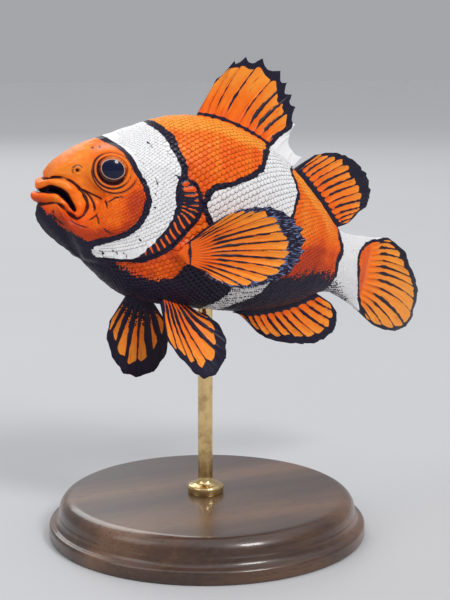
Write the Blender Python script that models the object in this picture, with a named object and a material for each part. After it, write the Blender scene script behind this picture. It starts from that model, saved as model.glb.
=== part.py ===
"""Life-size model of a clownfish, a false clown anemonefish, swimming, on a plain display stand.

The fish is drawn in its own straight frame, in millimetres: x is the station behind the snout, -y is its left side
and z is up from its long axis. Bending turns that frame along the curved backbone, and the posing empty tips the
nose up and lifts the fish above the stand. Every piece keeps a gap of about 0.3 mm to its neighbours.
"""

import math

import bmesh
import bpy
import numpy as np

MM = 0.001

# The whole fish.
BODY_LENGTH = 72.0  # snout to root of the tail fin
FIN_EDGE = 0.55  # thickness of every fin at its margin
BEND_STATION = 28.0  # the backbone is straight in front of this
TAIL_SWING = 43.0  # degrees of heading gained over one body length behind it
NOSE_UP = 16.4  # degrees
PIVOT_HEIGHT = 56.0  # of the axis at BEND_STATION, above the floor
GAP = 0.3  # between neighbouring pieces
RING_POINTS = 40

# Station, height of the back, depth of the belly, half width.
BODY_SECTIONS = (
    (13.0, 11.8, -11.4, 6.7),
    (20.0, 15.9, -14.7, 7.5),
    (28.0, 18.0, -15.0, 7.9),
    (37.0, 17.4, -14.0, 7.5),
    (46.0, 14.4, -12.5, 6.2),
    (54.0, 10.0, -9.6, 4.6),
    (61.0, 5.8, -6.0, 3.2),
    (67.0, 5.9, -6.8, 2.2),
    (73.0, 6.8, -8.4, 1.2),
)
FULL_BELLY = 0.10  # how much fuller than an ellipse the lower flank is
SLIM_BACK = -0.08  # and how much slimmer the upper flank

# Where the body is parted.
FACE_STATION = 13.0
HEAD_END = 26.3
TRUNK_END = 58.0
TAIL_STEM_END = 70.1

# The mouth: a slit bent round the snout, which arches up and then falls to its corners.
MOUTH_STATION, MOUTH_HEIGHT = 1.6, -1.55
MOUTH_REACH = 0.92  # how far back the slit gets per millimetre of its run
MOUTH_ARCH, MOUTH_DROP, MOUTH_ARCH_END = 0.70, 0.16, 5.2
MOUTH_HALF_LENGTH, MOUTH_HALF_GAP = 7.6, 0.45
MOUTH_TURN, MOUTH_TURN_LENGTH = math.radians(80), 2.9
FACE_SLOPE = math.radians(32)
JAW_JUT = 0.25  # how far the lower lip stands ahead of the middle, and the upper lip behind it
# Rings over the lips, from inside the mouth to the groove behind them: growth of the slit, push outwards.
LIP_RINGS = ((-0.1, -0.8), (0.2, 0.3), (0.7, 0.66), (1.3, 0.62), (1.75, 0.05))
LIP_FULL, LIP_THIN, LIP_END = 0.9, 0.55, 0.65  # at the corners: upper lip wider, lower lip narrower, and past them
MOUTH_BACK = (5.6, 0.0, -1.9)  # the mouth narrows towards this point
MOUTH_DEPTH = 0.40  # how far it gets there
FACE_STEPS = 7

EYE_PLACE = (11.5, 4.3, 4.8)
EYE_RADIUS, EYE_FLATNESS = 3.0, 0.85
EYE_FORWARD = math.radians(18)  # the eyes look a little forward

# The gill cover: centre and half sizes of its outline, and how deep it sits.
GILL_CENTRE = (19.7, -0.6)
GILL_HALF = (5.5, 7.9)
GILL_LEAN = math.radians(-16)
GILL_PROUD, GILL_DEPTH = 0.2, 1.3

# Fins: where each ray starts and ends. The back and belly fins start at a station on the body.
SPINY_ROOTS = (26.2, 27.4, 28.9, 30.9, 34.0, 35.8, 37.2, 38.6, 40.4, 42.6, 45.2, 46.9)
SPINY_TIPS = ((27.8, 24.6), (30.2, 28.4), (32.1, 29.7), (35.4, 30.4), (39.5, 29.5), (41.5, 27.9), (43.2, 26.2),
              (44.8, 24.4), (45.7, 21.4), (45.3, 19.2), (46.5, 16.9), (49.0, 16.3))
SOFT_ROOTS = (47.6, 49.4, 51.6, 54.0, 56.4, 58.8, 60.6)
SOFT_TIPS = ((50.8, 17.3), (54.3, 18.7), (57.9, 18.9), (61.5, 18.1), (64.6, 16.6), (66.6, 14.4), (67.1, 11.8),
             (65.4, 9.9), (63.0, 7.3))
ANAL_ROOTS = (43.0, 45.0, 47.4, 50.2, 53.2, 56.4, 59.8)
ANAL_TIPS = ((44.8, -13.4), (47.4, -15.1), (50.4, -16.4), (53.8, -16.8), (57.4, -16.5), (60.9, -15.9),
             (63.8, -14.5), (65.6, -12.2), (65.4, -9.6), (63.2, -7.6))
TAIL_ROOTS = ((71.0, 6.3), (70.6, -0.8), (70.5, -7.7))
TAIL_TIPS = ((73.6, 6.9), (76.6, 6.3), (80.2, 5.2), (82.8, 3.4), (86.0, 1.7), (89.2, 0.2), (92.0, -2.2), (93.5, -5.0),
             (92.6, -8.2), (88.8, -9.8), (83.6, -10.3), (78.0, -9.9), (74.2, -8.8))
PECTORAL_ROOTS = ((26.2, 8.8, -3.2), (27.6, 8.6, -7.2))
PECTORAL_TIPS = ((29.8, 11.6, 2.6), (33.0, 12.5, 4.7), (36.6, 13.1, 5.8), (40.4, 13.6, 5.3), (43.2, 13.9, 3.6),
                 (44.7, 13.9, 0.9), (44.7, 13.7, -1.9), (43.2, 13.3, -4.8), (39.6, 12.6, -7.3), (35.8, 11.8, -8.6),
                 (31.6, 10.5, -8.0))
NEAR_PELVIC_ROOTS = ((27.0, 3.0, -14.9), (32.8, 2.2, -14.6))
NEAR_PELVIC_TIPS = ((28.9, 4.8, -20.3), (31.2, 5.9, -22.4), (33.6, 6.8, -24.0), (35.4, 7.4, -25.1), (37.4, 7.5, -24.9),
                    (38.9, 7.3, -23.0), (39.4, 6.8, -20.0), (38.7, 6.1, -17.4), (37.2, 5.2, -15.5), (35.4, 4.4, -14.5))
FAR_PELVIC_ROOTS = ((22.8, 2.9, -15.3), (28.0, 2.4, -15.0))
FAR_PELVIC_TIPS = ((21.8, 4.2, -20.0), (22.3, 4.6, -22.8), (24.0, 5.2, -25.4), (26.6, 5.8, -28.0), (29.4, 6.6, -28.9),
                   (31.8, 6.8, -28.5), (33.9, 6.6, -26.3), (34.6, 5.8, -22.9), (33.2, 4.4, -18.6))

# The stand: a round base and a rod with a collar at its foot.
BASE_RADIUS, BASE_HEIGHT, BASE_BEVEL = 28.0, 7.0, 1.2
BASE_OFFSET = 5.0  # of the base's middle behind the pivot
ROD_RADIUS, ROD_STATION = 1.3, 37.0
ROD_SINK = 4.0  # how far the rod reaches into the belly
COLLAR_RADIUS, COLLAR_HEIGHT, COLLAR_BEVEL = 3.2, 2.2, 0.5


# ---------------------------------------------------------------- shapes of the body


def smooth(knots, values, at):
    """Cubic curve through the knots, with the slopes of its neighbours' chords."""
    knots, values = np.asarray(knots, float), np.asarray(values, float)
    slopes = np.gradient(values, knots)
    at = np.clip(at, knots[0], knots[-1])
    i = np.clip(np.searchsorted(knots, at) - 1, 0, len(knots) - 2)
    span = knots[i + 1] - knots[i]
    t = (at - knots[i]) / span
    rise = (3 - 2 * t) * t * t
    start, end = t * (1 - t) ** 2, t * t * (t - 1)
    return values[i] * (1 - rise) + values[i + 1] * rise + span * (start * slopes[i] + end * slopes[i + 1])


def section_sizes(station):
    """Back, belly and half width of the body at a station."""
    table = np.array(BODY_SECTIONS)
    return [smooth(table[:, 0], table[:, k], station) for k in (1, 2, 3)]


def body_point(station, angle):
    """A point of the flank: angle 0 is the left side, a quarter turn is the back."""
    back, belly, half = section_sizes(station)
    middle = 0.5 * (back + belly)
    side, up = np.cos(angle), np.sin(angle)
    fuller = 1 + np.where(up > 0, SLIM_BACK, FULL_BELLY) * up**2
    return np.stack([station + 0 * angle, -half * side * fuller, middle + 0.5 * (back - belly) * up], -1)


def flank_width(station, height):
    """Half width of the body at a station and a height, from the same section."""
    back, belly, half = section_sizes(station)
    up = np.clip((height - 0.5 * (back + belly)) / (0.5 * (back - belly)), -0.999, 0.999)
    return half * np.sqrt(1 - up**2) * (1 + np.where(up > 0, SLIM_BACK, FULL_BELLY) * up**2)


def eased(low, high, value):
    t = np.clip((value - low) / (high - low), 0, 1)
    return t * t * (3 - 2 * t)


def arch(back):
    """Height of the slit and its slope, at a distance back from its middle."""
    near = np.minimum(back, MOUTH_ARCH_END)
    slope = MOUTH_ARCH - 2 * MOUTH_DROP * near
    return MOUTH_HEIGHT + (MOUTH_ARCH - MOUTH_DROP * near) * near + slope * (back - near), slope


def mouth_point(along, up, out):
    """A point near the lips: along the slit from its middle, up from it over the face, and out from the face."""
    fine = np.linspace(-14, 14, 561)
    turn = MOUTH_TURN * np.tanh(fine / MOUTH_TURN_LENGTH)
    step = fine[1] - fine[0]
    back = np.cumsum(np.sin(turn)) * step
    side = np.cumsum(np.cos(turn)) * step
    back, side = back - back[280], side - side[280]
    heading = MOUTH_TURN * np.tanh(along / MOUTH_TURN_LENGTH)
    back, side = np.interp(along, fine, back), np.interp(along, fine, side)
    height, slope = arch(back)
    lean = FACE_SLOPE * eased(0.9, 3.0, np.abs(up)) * np.cos(0.7 * heading)
    fall = np.arctan2(slope, MOUTH_REACH) * np.sin(heading) ** 2
    ahead = JAW_JUT * np.tanh(2 * up) * np.cos(heading)
    return np.stack(
        [
            MOUTH_STATION + back * MOUTH_REACH + np.abs(up) * np.sin(lean) - up * np.sin(fall) + ahead
            - out * np.cos(heading),
            -side - out * np.sin(heading),
            height + up * np.cos(lean) * np.cos(fall),
        ],
        -1,
    )


def mouth_ring(grow, out, angles):
    """A ring round the slit, grown on every side and pushed out from the face. The further it is grown, the blunter
    its ends are."""
    aside, up = np.cos(angles), np.sin(angles)
    blunt = 1 - 0.15 * max(grow, 0)
    wide = np.where(up > 0, 1 + LIP_FULL * aside**2, 1 - LIP_THIN * aside**2)
    along = (MOUTH_HALF_LENGTH + grow * LIP_END) * np.sign(aside) * np.abs(aside) ** blunt
    up = (MOUTH_HALF_GAP + grow * wide) * np.sign(up) * np.abs(up) ** blunt
    return mouth_point(along, up, out + 0 * angles)


def lip_rings(angles):
    """Rings from the back of the mouth to the groove behind the lips."""
    rings = [mouth_ring(grow, out, angles) for grow, out in LIP_RINGS]
    return [rings[0] + (np.array(MOUTH_BACK) - rings[0]) * MOUTH_DEPTH] + rings


def face_rings(angles):
    """Rings that carry the groove behind the lips smoothly to the first section of the body."""
    grow, out = LIP_RINGS[-1]
    start = mouth_ring(grow, out, angles)
    leave = mouth_ring(grow + 0.5, out + 0.22 + 0.40 * np.sin(angles) ** 4, angles) - start
    leave /= np.linalg.norm(leave, axis=1, keepdims=True)
    end = body_point(np.full_like(angles, FACE_STATION), angles)
    arrive = body_point(np.full_like(angles, FACE_STATION + 0.5), angles) - end
    arrive /= np.linalg.norm(arrive, axis=1, keepdims=True)
    reach = np.linalg.norm(end - start, axis=1, keepdims=True)
    for t in np.linspace(0, 1, FACE_STEPS + 1)[1:]:
        rise = t * t * (3 - 2 * t)
        bow = t * (1 - t) ** 2 * leave + t * t * (t - 1) * arrive
        yield start * (1 - rise) + end * rise + bow * reach


# ---------------------------------------------------------------- bending and mesh making


def bent(points):
    """Straight-frame points, moved with the curved backbone, about the pivot station."""
    points = np.asarray(points, float)
    fine = np.linspace(-20, 120, 1401)
    heading = math.radians(TAIL_SWING) * (np.clip(fine - BEND_STATION, 0, None) / BODY_LENGTH) ** 2
    step = fine[1] - fine[0]
    x, y = np.cumsum(np.cos(heading)) * step, np.cumsum(np.sin(heading)) * step
    x, y = (v - np.interp(BEND_STATION, fine, v) for v in (x, y))
    along, turn = points[:, 0], np.interp(points[:, 0], fine, heading)
    return np.stack(
        [
            np.interp(along, fine, x) - np.sin(turn) * points[:, 1],
            np.interp(along, fine, y) + np.cos(turn) * points[:, 1],
            points[:, 2],
        ],
        -1,
    )


def mesh_object(name, bm, material, parent):
    """An object of a bmesh drawn in millimetres."""
    bmesh.ops.recalc_face_normals(bm, faces=bm.faces)
    bmesh.ops.scale(bm, vec=(MM, MM, MM), verts=bm.verts)
    mesh = bpy.data.meshes.new(name)
    bm.to_mesh(mesh)
    bm.free()
    mesh.shade_smooth()
    made = bpy.data.objects.new(name, mesh)
    bpy.context.scene.collection.objects.link(made)
    made.parent = parent
    if material:
        made.data.materials.append(material)
    return made


def add_cap(bm, loop):
    """Closes a loop with strips between its upper and its lower half, so that a bent slit closes too."""
    count = len(loop)
    for i in range(count // 2):
        corners = (loop[i], loop[i + 1], loop[count - i - 1], loop[(count - i) % count])
        bm.faces.new(tuple(dict.fromkeys(corners)))


def add_loft(bm, rings):
    """A closed tube through rings of points, with a cap at each end."""
    loops = [[bm.verts.new(p) for p in ring] for ring in rings]
    for a, b in zip(loops, loops[1:]):
        for i in range(len(a)):
            j = (i + 1) % len(a)
            bm.faces.new((a[i], a[j], b[j], b[i]))
    for loop in (loops[0], loops[-1]):
        add_cap(bm, loop)


def loft(name, rings, material, parent):
    bm = bmesh.new()
    add_loft(bm, rings)
    return mesh_object(name, bm, material, parent)


def slab(name, front, back, material, parent):
    """A closed solid between two grids of points that face each other, stitched round their edges."""
    bm = bmesh.new()
    rows, columns = front.shape[:2]
    sheets = [[[bm.verts.new(p) for p in row] for row in grid] for grid in (front, back)]
    for sheet in sheets:
        for i in range(rows - 1):
            for j in range(columns - 1):
                bm.faces.new((sheet[i][j], sheet[i][j + 1], sheet[i + 1][j + 1], sheet[i + 1][j]))
    rim = [(0, j) for j in range(columns)] + [(i, columns - 1) for i in range(1, rows)]
    rim += [(rows - 1, j) for j in range(columns - 2, -1, -1)] + [(i, 0) for i in range(rows - 2, 0, -1)]
    for a, b in zip(rim, rim[1:] + rim[:1]):
        near, far = sheets
        bm.faces.new((near[a[0]][a[1]], near[b[0]][b[1]], far[b[0]][b[1]], far[a[0]][a[1]]))
    return mesh_object(name, bm, material, parent)


def prism(name, outline, half_width, parent):
    """A cutter: an outline in the fish's side view, run across its whole width."""
    rings = [[(x, y, z) for x, z in outline] for y in (-half_width, half_width)]
    return loft(name, [bent(ring) for ring in rings], None, parent)


def boolean(target, operation, cutter):
    """A live Boolean. Its cutter is only a helper, so it is kept out of the build."""
    modifier = target.modifiers.new(operation.lower() + "_" + cutter.name, "BOOLEAN")
    modifier.operation = operation
    modifier.solver = "EXACT"
    modifier.object = cutter
    cutter.hide_render = True
    cutter.display_type = "WIRE"


def finish(name, colour, roughness, metallic=0.0):
    """A Principled material."""
    material = bpy.data.materials.new(name)
    material.use_nodes = True
    shader = material.node_tree.nodes["Principled BSDF"]
    shader.inputs["Base Color"].default_value = (*colour, 1)
    shader.inputs["Roughness"].default_value = roughness
    shader.inputs["Metallic"].default_value = metallic
    return material


# ---------------------------------------------------------------- head, trunk and tail stem


def ring_angles():
    return np.linspace(0, 2 * math.pi, RING_POINTS, endpoint=False)


def body_rings(start, end, spacing):
    angles = ring_angles()
    for station in np.linspace(start, end, max(2, round((end - start) / spacing) + 1)):
        yield body_point(np.full_like(angles, station), angles)


def slit_line(above, last):
    """Side view of a line that keeps a distance above the slit of the mouth, from ahead of the snout back to last."""
    back = np.linspace(0, last, 8)
    height, slope = arch(back)
    fall = np.arctan2(slope, MOUTH_REACH) * eased(0.5, 3.0, back)
    station = MOUTH_STATION + MOUTH_REACH * back - above * np.sin(fall)
    return [(-4, MOUTH_HEIGHT + above)] + list(zip(station.tolist(), (height + above * np.cos(fall)).tolist()))


def jaw_outline(grow):
    """Side view of the region that belongs to the lower jaw, grown by a gap."""
    return slit_line(grow, 6.6) + [(9.2 + grow, -6.0), (10.4 + grow, -13), (-4, -13)]


def lip_outline(grow):
    """Side view of the region that belongs to the upper lip, grown by a gap."""
    return slit_line(GAP * 0.5 - grow, 6.2 + grow) + slit_line(2.3 + grow, 6.4 + grow)[::-1]


def head_rings():
    angles = ring_angles()
    rings = lip_rings(angles) + list(face_rings(angles))
    rings += list(body_rings(FACE_STATION, HEAD_END, 3.0))[1:]
    return [bent(ring) for ring in rings]


def gill_cover(name, side, grow, material, parent):
    """A curved plate let into the side of the head, drawn as rings round its middle."""
    turns = np.linspace(0, 2 * math.pi, 24, endpoint=False)
    skins = []
    for proud in (GILL_PROUD + 3 * grow, -GILL_DEPTH - grow):
        rings = []
        for share in (0.15, 0.6, 1.0):
            wide, tall = (half * share + grow for half in GILL_HALF)
            x, z = wide * np.cos(turns), tall * np.sin(turns)
            station = GILL_CENTRE[0] + x * math.cos(GILL_LEAN) - z * math.sin(GILL_LEAN)
            height = GILL_CENTRE[1] + x * math.sin(GILL_LEAN) + z * math.cos(GILL_LEAN)
            rings.append(np.stack([station, -side * (flank_width(station, height) + proud), height], -1))
        skins.append(rings)
    outer, inner = skins
    return loft(name, [bent(ring) for ring in outer + inner[::-1]], material, parent)


def eye_ball(name, side, grow, material, parent):
    """A flattened ball whose poles look out sideways and a little forward."""
    bm = bmesh.new()
    bmesh.ops.create_uvsphere(bm, u_segments=18, v_segments=10, radius=EYE_RADIUS + grow)
    bmesh.ops.scale(bm, vec=(1, 1, EYE_FLATNESS), verts=bm.verts)
    made = mesh_object(name, bm, material, parent)
    made.rotation_euler = (math.radians(90), 0, -side * EYE_FORWARD)
    made.location = [MM * v for v in bent([(EYE_PLACE[0], -side * EYE_PLACE[1], EYE_PLACE[2])])[0]]
    return made


def build_head(materials, parent):
    """The head, the jaw and lip parted from it, the gill covers and the eyes."""
    skin = materials["orange skin"]
    regions = {
        "jaw_region": prism("jaw_region", jaw_outline(0), 12, parent),
        "jaw_cut": prism("jaw_cut", jaw_outline(GAP), 12, parent),
        "lip_region": prism("lip_region", lip_outline(0), 12, parent),
        "lip_cut": prism("lip_cut", lip_outline(GAP), 12, parent),
    }
    head = loft("head", head_rings(), skin, parent)
    boolean(head, "DIFFERENCE", regions["jaw_cut"])
    boolean(head, "DIFFERENCE", regions["lip_cut"])
    jaw = loft("lower_jaw", head_rings(), skin, parent)
    boolean(jaw, "INTERSECT", regions["jaw_region"])
    lip = loft("upper_lip", head_rings(), skin, parent)
    boolean(lip, "INTERSECT", regions["lip_region"])
    for side, word in ((1, "left"), (-1, "right")):
        gill_cover("gill_cover_" + word, side, 0, materials["white skin"], parent)
        eye_ball("eye_" + word, side, 0, materials["eye"], parent)
        gill_cut = gill_cover("gill_cut_" + word, side, GAP, None, parent)
        eye_cut = eye_ball("eye_cut_" + word, side, GAP, None, parent)
        boolean(head, "DIFFERENCE", gill_cut)
        boolean(head, "DIFFERENCE", eye_cut)


def build_body(materials, parent):
    """The trunk, with the socket for the stand's rod, and the tail stem."""
    rings = [bent(ring) for ring in body_rings(HEAD_END + GAP, TRUNK_END, 3.3)]
    trunk = loft("trunk", rings, materials["orange skin"], parent)
    rings = [bent(ring) for ring in body_rings(TRUNK_END + GAP, TAIL_STEM_END, 2.7)]
    loft("tail_stem", rings, materials["white skin"], parent)
    return trunk


# ---------------------------------------------------------------- fins


def between(knots, count):
    """Points spread evenly along the smooth curve through the knots, taken as evenly spaced."""
    knots = np.array(knots, float)
    at = np.linspace(0, len(knots) - 1, count)
    return np.stack([smooth(np.arange(len(knots)), column, at) for column in knots.T], -1)


def fin_solid(name, roots, tips, rays, scallop, wave, thick, material, parent):
    """A fin whose rays run straight from roots to tips. Between the rays its margin is cut back by scallop, and
    wave moves the middle of its rays to one side."""
    count, steps = 2 * (rays - 1) + 1, 4
    root, tip = between(roots, count), between(tips, count)
    place = np.linspace(0, 1, count)
    reach = 1 - scallop * np.abs(np.sin(math.pi * place * (rays - 1)))
    share = np.linspace(0, 1, steps + 1)[None, :, None]
    sheet = root[:, None] + (tip - root)[:, None] * share * (1 - (1 - reach)[:, None, None] * share)
    along, across = np.gradient(sheet, axis=0), np.gradient(sheet, axis=1)
    normal = np.cross(along, across)
    normal /= np.linalg.norm(normal, axis=2, keepdims=True)
    sway = wave * np.sin(math.pi * (0.2 + 1.6 * place))[:, None, None] * share**1.5
    half = 0.5 * (thick * (1 - share) + FIN_EDGE * share)
    near, far = (bent((sheet + normal * (sway + k * half)).reshape(-1, 3)).reshape(sheet.shape) for k in (-1, 1))
    return slab(name, near, far, material, parent)


def on_body(stations, edge):
    """Root points on the ridge of the back (edge 1) or the keel of the belly (edge -1), a gap away from it."""
    stations = np.array(stations)
    back, belly, _ = section_sizes(stations)
    return np.stack([stations, 0 * stations, np.where(edge > 0, back, belly) + edge * GAP], -1)


def in_middle(points):
    """Station and height pairs as points of the plane that parts left from right."""
    return [(x, 0, z) for x, z in points]


def on_side(points, side):
    """Points given for the left side with a width, put on the side asked for."""
    return [(x, -side * y, z) for x, y, z in points]


def build_fins(materials, parent):
    fin = materials["fin"]
    fin_solid("dorsal_fin_spiny", on_body(SPINY_ROOTS, 1), in_middle(SPINY_TIPS), 12, 0.1, 0.6, 1.1, fin, parent)
    fin_solid("dorsal_fin_soft", on_body(SOFT_ROOTS, 1), in_middle(SOFT_TIPS), 14, 0.02, 0.7, 1.1, fin, parent)
    fin_solid("anal_fin", on_body(ANAL_ROOTS, -1), in_middle(ANAL_TIPS), 13, 0.02, 0.6, 1.1, fin, parent)
    fin_solid("tail_fin", in_middle(TAIL_ROOTS), in_middle(TAIL_TIPS), 14, 0.02, 0.8, 1.2, fin, parent)
    for side, word in ((1, "left"), (-1, "right")):
        fin_solid("pectoral_fin_" + word, on_side(PECTORAL_ROOTS, side), on_side(PECTORAL_TIPS, side),
                  14, 0.03, 0.7, 1.0, fin, parent)
    fin_solid("pelvic_fin_left", on_side(NEAR_PELVIC_ROOTS, 1), on_side(NEAR_PELVIC_TIPS, 1),
              8, 0.03, 0.5, 1.0, fin, parent)
    fin_solid("pelvic_fin_right", on_side(FAR_PELVIC_ROOTS, -1), on_side(FAR_PELVIC_TIPS, -1),
              8, 0.03, 0.5, 1.0, fin, parent)


# ---------------------------------------------------------------- stand


def turned(name, profile, place, segments, material, parent=None):
    """A solid of revolution about an upright axis. The profile lists radius and height from bottom to top."""
    turns = np.linspace(0, 2 * math.pi, segments, endpoint=False)
    rings = []
    for radius, height in profile:
        rings.append(np.stack([place[0] + radius * np.cos(turns), place[1] + radius * np.sin(turns),
                               height + 0 * turns], -1))
    return loft(name, rings, material, parent)


def rod_place():
    """Where the rod meets the belly, in the world, in millimetres."""
    belly = section_sizes(np.array([ROD_STATION]))[1][0]
    x, y, z = bent([(ROD_STATION, 0, belly)])[0]
    tip = math.radians(NOSE_UP)
    return x * math.cos(tip) + z * math.sin(tip) - BASE_OFFSET, y, PIVOT_HEIGHT - x * math.sin(tip) + z * math.cos(tip)


def build_stand(materials, trunk):
    """A round base, with its underside's middle at the origin, and one rod up into the belly."""
    x, y, belly = rod_place()
    edge = BASE_RADIUS - BASE_BEVEL
    base = turned("stand_base", ((BASE_RADIUS, 0), (BASE_RADIUS, BASE_HEIGHT - BASE_BEVEL),
                                 (BASE_RADIUS - 0.3 * BASE_BEVEL, BASE_HEIGHT - 0.3 * BASE_BEVEL),
                                 (edge, BASE_HEIGHT)), (0, 0), 56, materials["stand wood"])
    low, top = BASE_HEIGHT + GAP, BASE_HEIGHT + GAP + COLLAR_HEIGHT
    rod = turned("stand_rod", ((COLLAR_RADIUS, low), (COLLAR_RADIUS, top - COLLAR_BEVEL),
                               (COLLAR_RADIUS - COLLAR_BEVEL, top), (ROD_RADIUS, top),
                               (ROD_RADIUS, belly + ROD_SINK - GAP)), (x, y), 24, materials["stand metal"])
    for made in (base, rod):
        made.data.shade_flat()
    socket = turned("rod_socket", ((ROD_RADIUS + GAP, belly - 6), (ROD_RADIUS + GAP, belly + ROD_SINK)),
                    (x, y), 24, None)
    boolean(trunk, "DIFFERENCE", socket)


# ---------------------------------------------------------------- assembly


def main():
    for old in list(bpy.data.objects):
        bpy.data.objects.remove(old, do_unlink=True)
    materials = {
        "orange skin": finish("orange skin", (0.86, 0.21, 0.02), 0.35),
        "white skin": finish("white skin", (0.85, 0.85, 0.82), 0.35),
        "fin": finish("fin", (0.80, 0.26, 0.04), 0.4),
        "eye": finish("eye", (0.02, 0.015, 0.02), 0.1),
        "stand wood": finish("stand wood", (0.08, 0.045, 0.03), 0.4),
        "stand metal": finish("stand metal", (0.75, 0.6, 0.32), 0.3, 1.0),
    }
    pose = bpy.data.objects.new("fish_pose", None)
    bpy.context.scene.collection.objects.link(pose)
    pose.location = (-BASE_OFFSET * MM, 0, PIVOT_HEIGHT * MM)
    pose.rotation_euler = (0, math.radians(NOSE_UP), 0)
    build_head(materials, pose)
    trunk = build_body(materials, pose)
    build_fins(materials, pose)
    build_stand(materials, trunk)


main()
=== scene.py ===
"""Looks of a life-size clownfish that swims above a display stand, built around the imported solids.

The fish is worked out in its own straight frame, in millimetres: x runs back from the snout, -y is its left side and z
is up from its long axis. A Pose bends that frame along the curved backbone, tips the nose up and lifts it above the
stand, in metres. Every marking is a field of that straight frame, so skin, scales and fins carry the same ones. Where
nothing else is said, points are places in the straight frame.
"""

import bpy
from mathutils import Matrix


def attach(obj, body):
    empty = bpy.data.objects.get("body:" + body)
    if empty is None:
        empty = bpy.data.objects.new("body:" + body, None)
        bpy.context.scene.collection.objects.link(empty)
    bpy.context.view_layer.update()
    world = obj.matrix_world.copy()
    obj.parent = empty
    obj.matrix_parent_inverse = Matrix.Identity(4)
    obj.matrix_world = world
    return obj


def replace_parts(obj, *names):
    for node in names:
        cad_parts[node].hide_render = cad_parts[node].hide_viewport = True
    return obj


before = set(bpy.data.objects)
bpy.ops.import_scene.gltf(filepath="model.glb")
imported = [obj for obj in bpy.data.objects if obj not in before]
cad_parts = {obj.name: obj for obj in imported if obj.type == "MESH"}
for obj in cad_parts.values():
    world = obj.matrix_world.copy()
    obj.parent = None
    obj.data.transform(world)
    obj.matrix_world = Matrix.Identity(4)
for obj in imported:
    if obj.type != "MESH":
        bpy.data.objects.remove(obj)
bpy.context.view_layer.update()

import logging
import math
from dataclasses import dataclass
from enum import Enum

import bpy
import numpy as np
from mathutils import Matrix, Vector

MM = 0.001
BAKE_MAP = "OFBake"
log = logging.getLogger("clownfish")

Array = np.ndarray
Row = tuple[float, ...]
Pair = tuple[float, float]
Point = Colour = tuple[float, float, float]
Fields = dict[str, Array]
Object, Material, Tree = bpy.types.Object, bpy.types.Material, bpy.types.NodeTree
Node, Socket = bpy.types.Node, bpy.types.NodeSocket
Source = Socket | float | Colour  # what may feed a socket


class Side(Enum):
    """Which side of the fish a paired piece is on. The value is the sign that turns width into -y."""

    LEFT = 1
    RIGHT = -1

    @property
    def word(self) -> str:
        """The side as the solids spell it."""
        return self.name.lower()


class Cap(Enum):
    """How the end of a tube is closed."""

    FAN = 1  # triangles to one middle point
    ZIP = 2  # strips between the two halves of a flat loop


# ---- numbers


def smooth_curve(knots: Array, values: Array, at: Array) -> Array:
    """Cubic curve through the knots that leaves each along the chord of its neighbours.

    Args:
        knots: Rising places.
        values: The curve's values there.
        at: Places to read, held between the first knot and the last.

    Returns:
        The curve's value at each place.
    """
    knots, values = np.asarray(knots, float), np.asarray(values, float)
    slopes = np.gradient(values, knots)
    at = np.clip(at, knots[0], knots[-1])
    i = np.clip(np.searchsorted(knots, at) - 1, 0, len(knots) - 2)
    span = knots[i + 1] - knots[i]
    t = (at - knots[i]) / span
    rise = (3 - 2 * t) * t * t
    start, end = t * (1 - t) ** 2, t * t * (t - 1)
    return values[i] * (1 - rise) + values[i + 1] * rise + span * (start * slopes[i] + end * slopes[i + 1])


def ease(low: float, high: float, value: Array) -> Array:
    """0 below low, 1 above high and a smooth S between them. low may be the larger one, which turns it round."""
    t = np.clip((value - low) / (high - low), 0, 1)
    return t * t * (3 - 2 * t)


def bell(value: Array, width: float) -> Array:
    """1 where the value is 0, falling off as a Gaussian of that width."""
    return np.exp(-((value / width) ** 2))


def edge_distance(knots: Array, stations: Array, points: Array, steepest: float = math.inf) -> tuple[Array, Array]:
    """Distance behind an edge, a smooth curve of station over height: that in station, shortened by the slope.

    Args:
        knots: Heights of the edge's knots.
        stations: Station of the edge at each.
        points: The places.
        steepest: Largest slope that counts.

    Returns:
        The distance, and the edge's slope at the same height.
    """
    x, z = points[..., 0], points[..., 2]
    near = 0.2
    rise = smooth_curve(knots, stations, z + near) - smooth_curve(knots, stations, z - near)
    slope = np.clip(rise / (2 * near), -steepest, steepest)
    return (x - smooth_curve(knots, stations, z)) / np.sqrt(1 + slope**2), slope


def ripples(points: Array, wavelength: float, seed: int) -> Array:
    """Soft random unevenness: the mean of sine waves in random directions, with random starts.

    Args:
        points: Places, the last axis holding their coordinates.
        wavelength: Mean length of a wave.
        seed: Picks the directions and starts.

    Returns:
        A value from about -1 to 1 for each place.
    """
    waves = 6
    dice = np.random.default_rng(seed)
    total = np.zeros(points.shape[:-1])
    for _ in range(waves):
        way = dice.normal(size=points.shape[-1])
        way *= 2 * math.pi / (wavelength * np.linalg.norm(way) * dice.uniform(0.6, 1.6))
        total += np.sin(points @ way + dice.uniform(0, 2 * math.pi))
    return total / math.sqrt(waves)


def lengths(vectors: Array) -> Array:
    """Length of each vector, the last axis holding its coordinates."""
    return np.linalg.norm(vectors, axis=-1)


def unit(vectors: Array) -> Array:
    """The vectors at length 1."""
    return vectors / np.maximum(lengths(vectors)[..., None], 1e-12)


def outward_normals(points: Array) -> Array:
    """Normals of a grid whose last column meets its first, all turned outwards.

    Each is the cross product of the differences round and down. If most look inwards, all are turned round.

    Args:
        points: Grid of rows, columns and 3 coordinates.

    Returns:
        A unit normal for each point.
    """
    down = np.gradient(points, axis=0)
    ring = np.gradient(np.concatenate([points[:, -2:], points, points[:, :2]], 1), axis=1)[:, 2:-2]
    normals = unit(np.cross(ring, down))
    outward = np.einsum("ijk,ijk->", normals, points - points.mean((0, 1)))
    return normals * (-1 if outward < 0 else 1)


def run_down(points: Array) -> Array:
    """Distance down a grid at each of its rows: the sum of the median steps from row to row."""
    return np.concatenate([[0], np.cumsum(np.median(lengths(np.diff(points, axis=0)), axis=1))])


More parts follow.
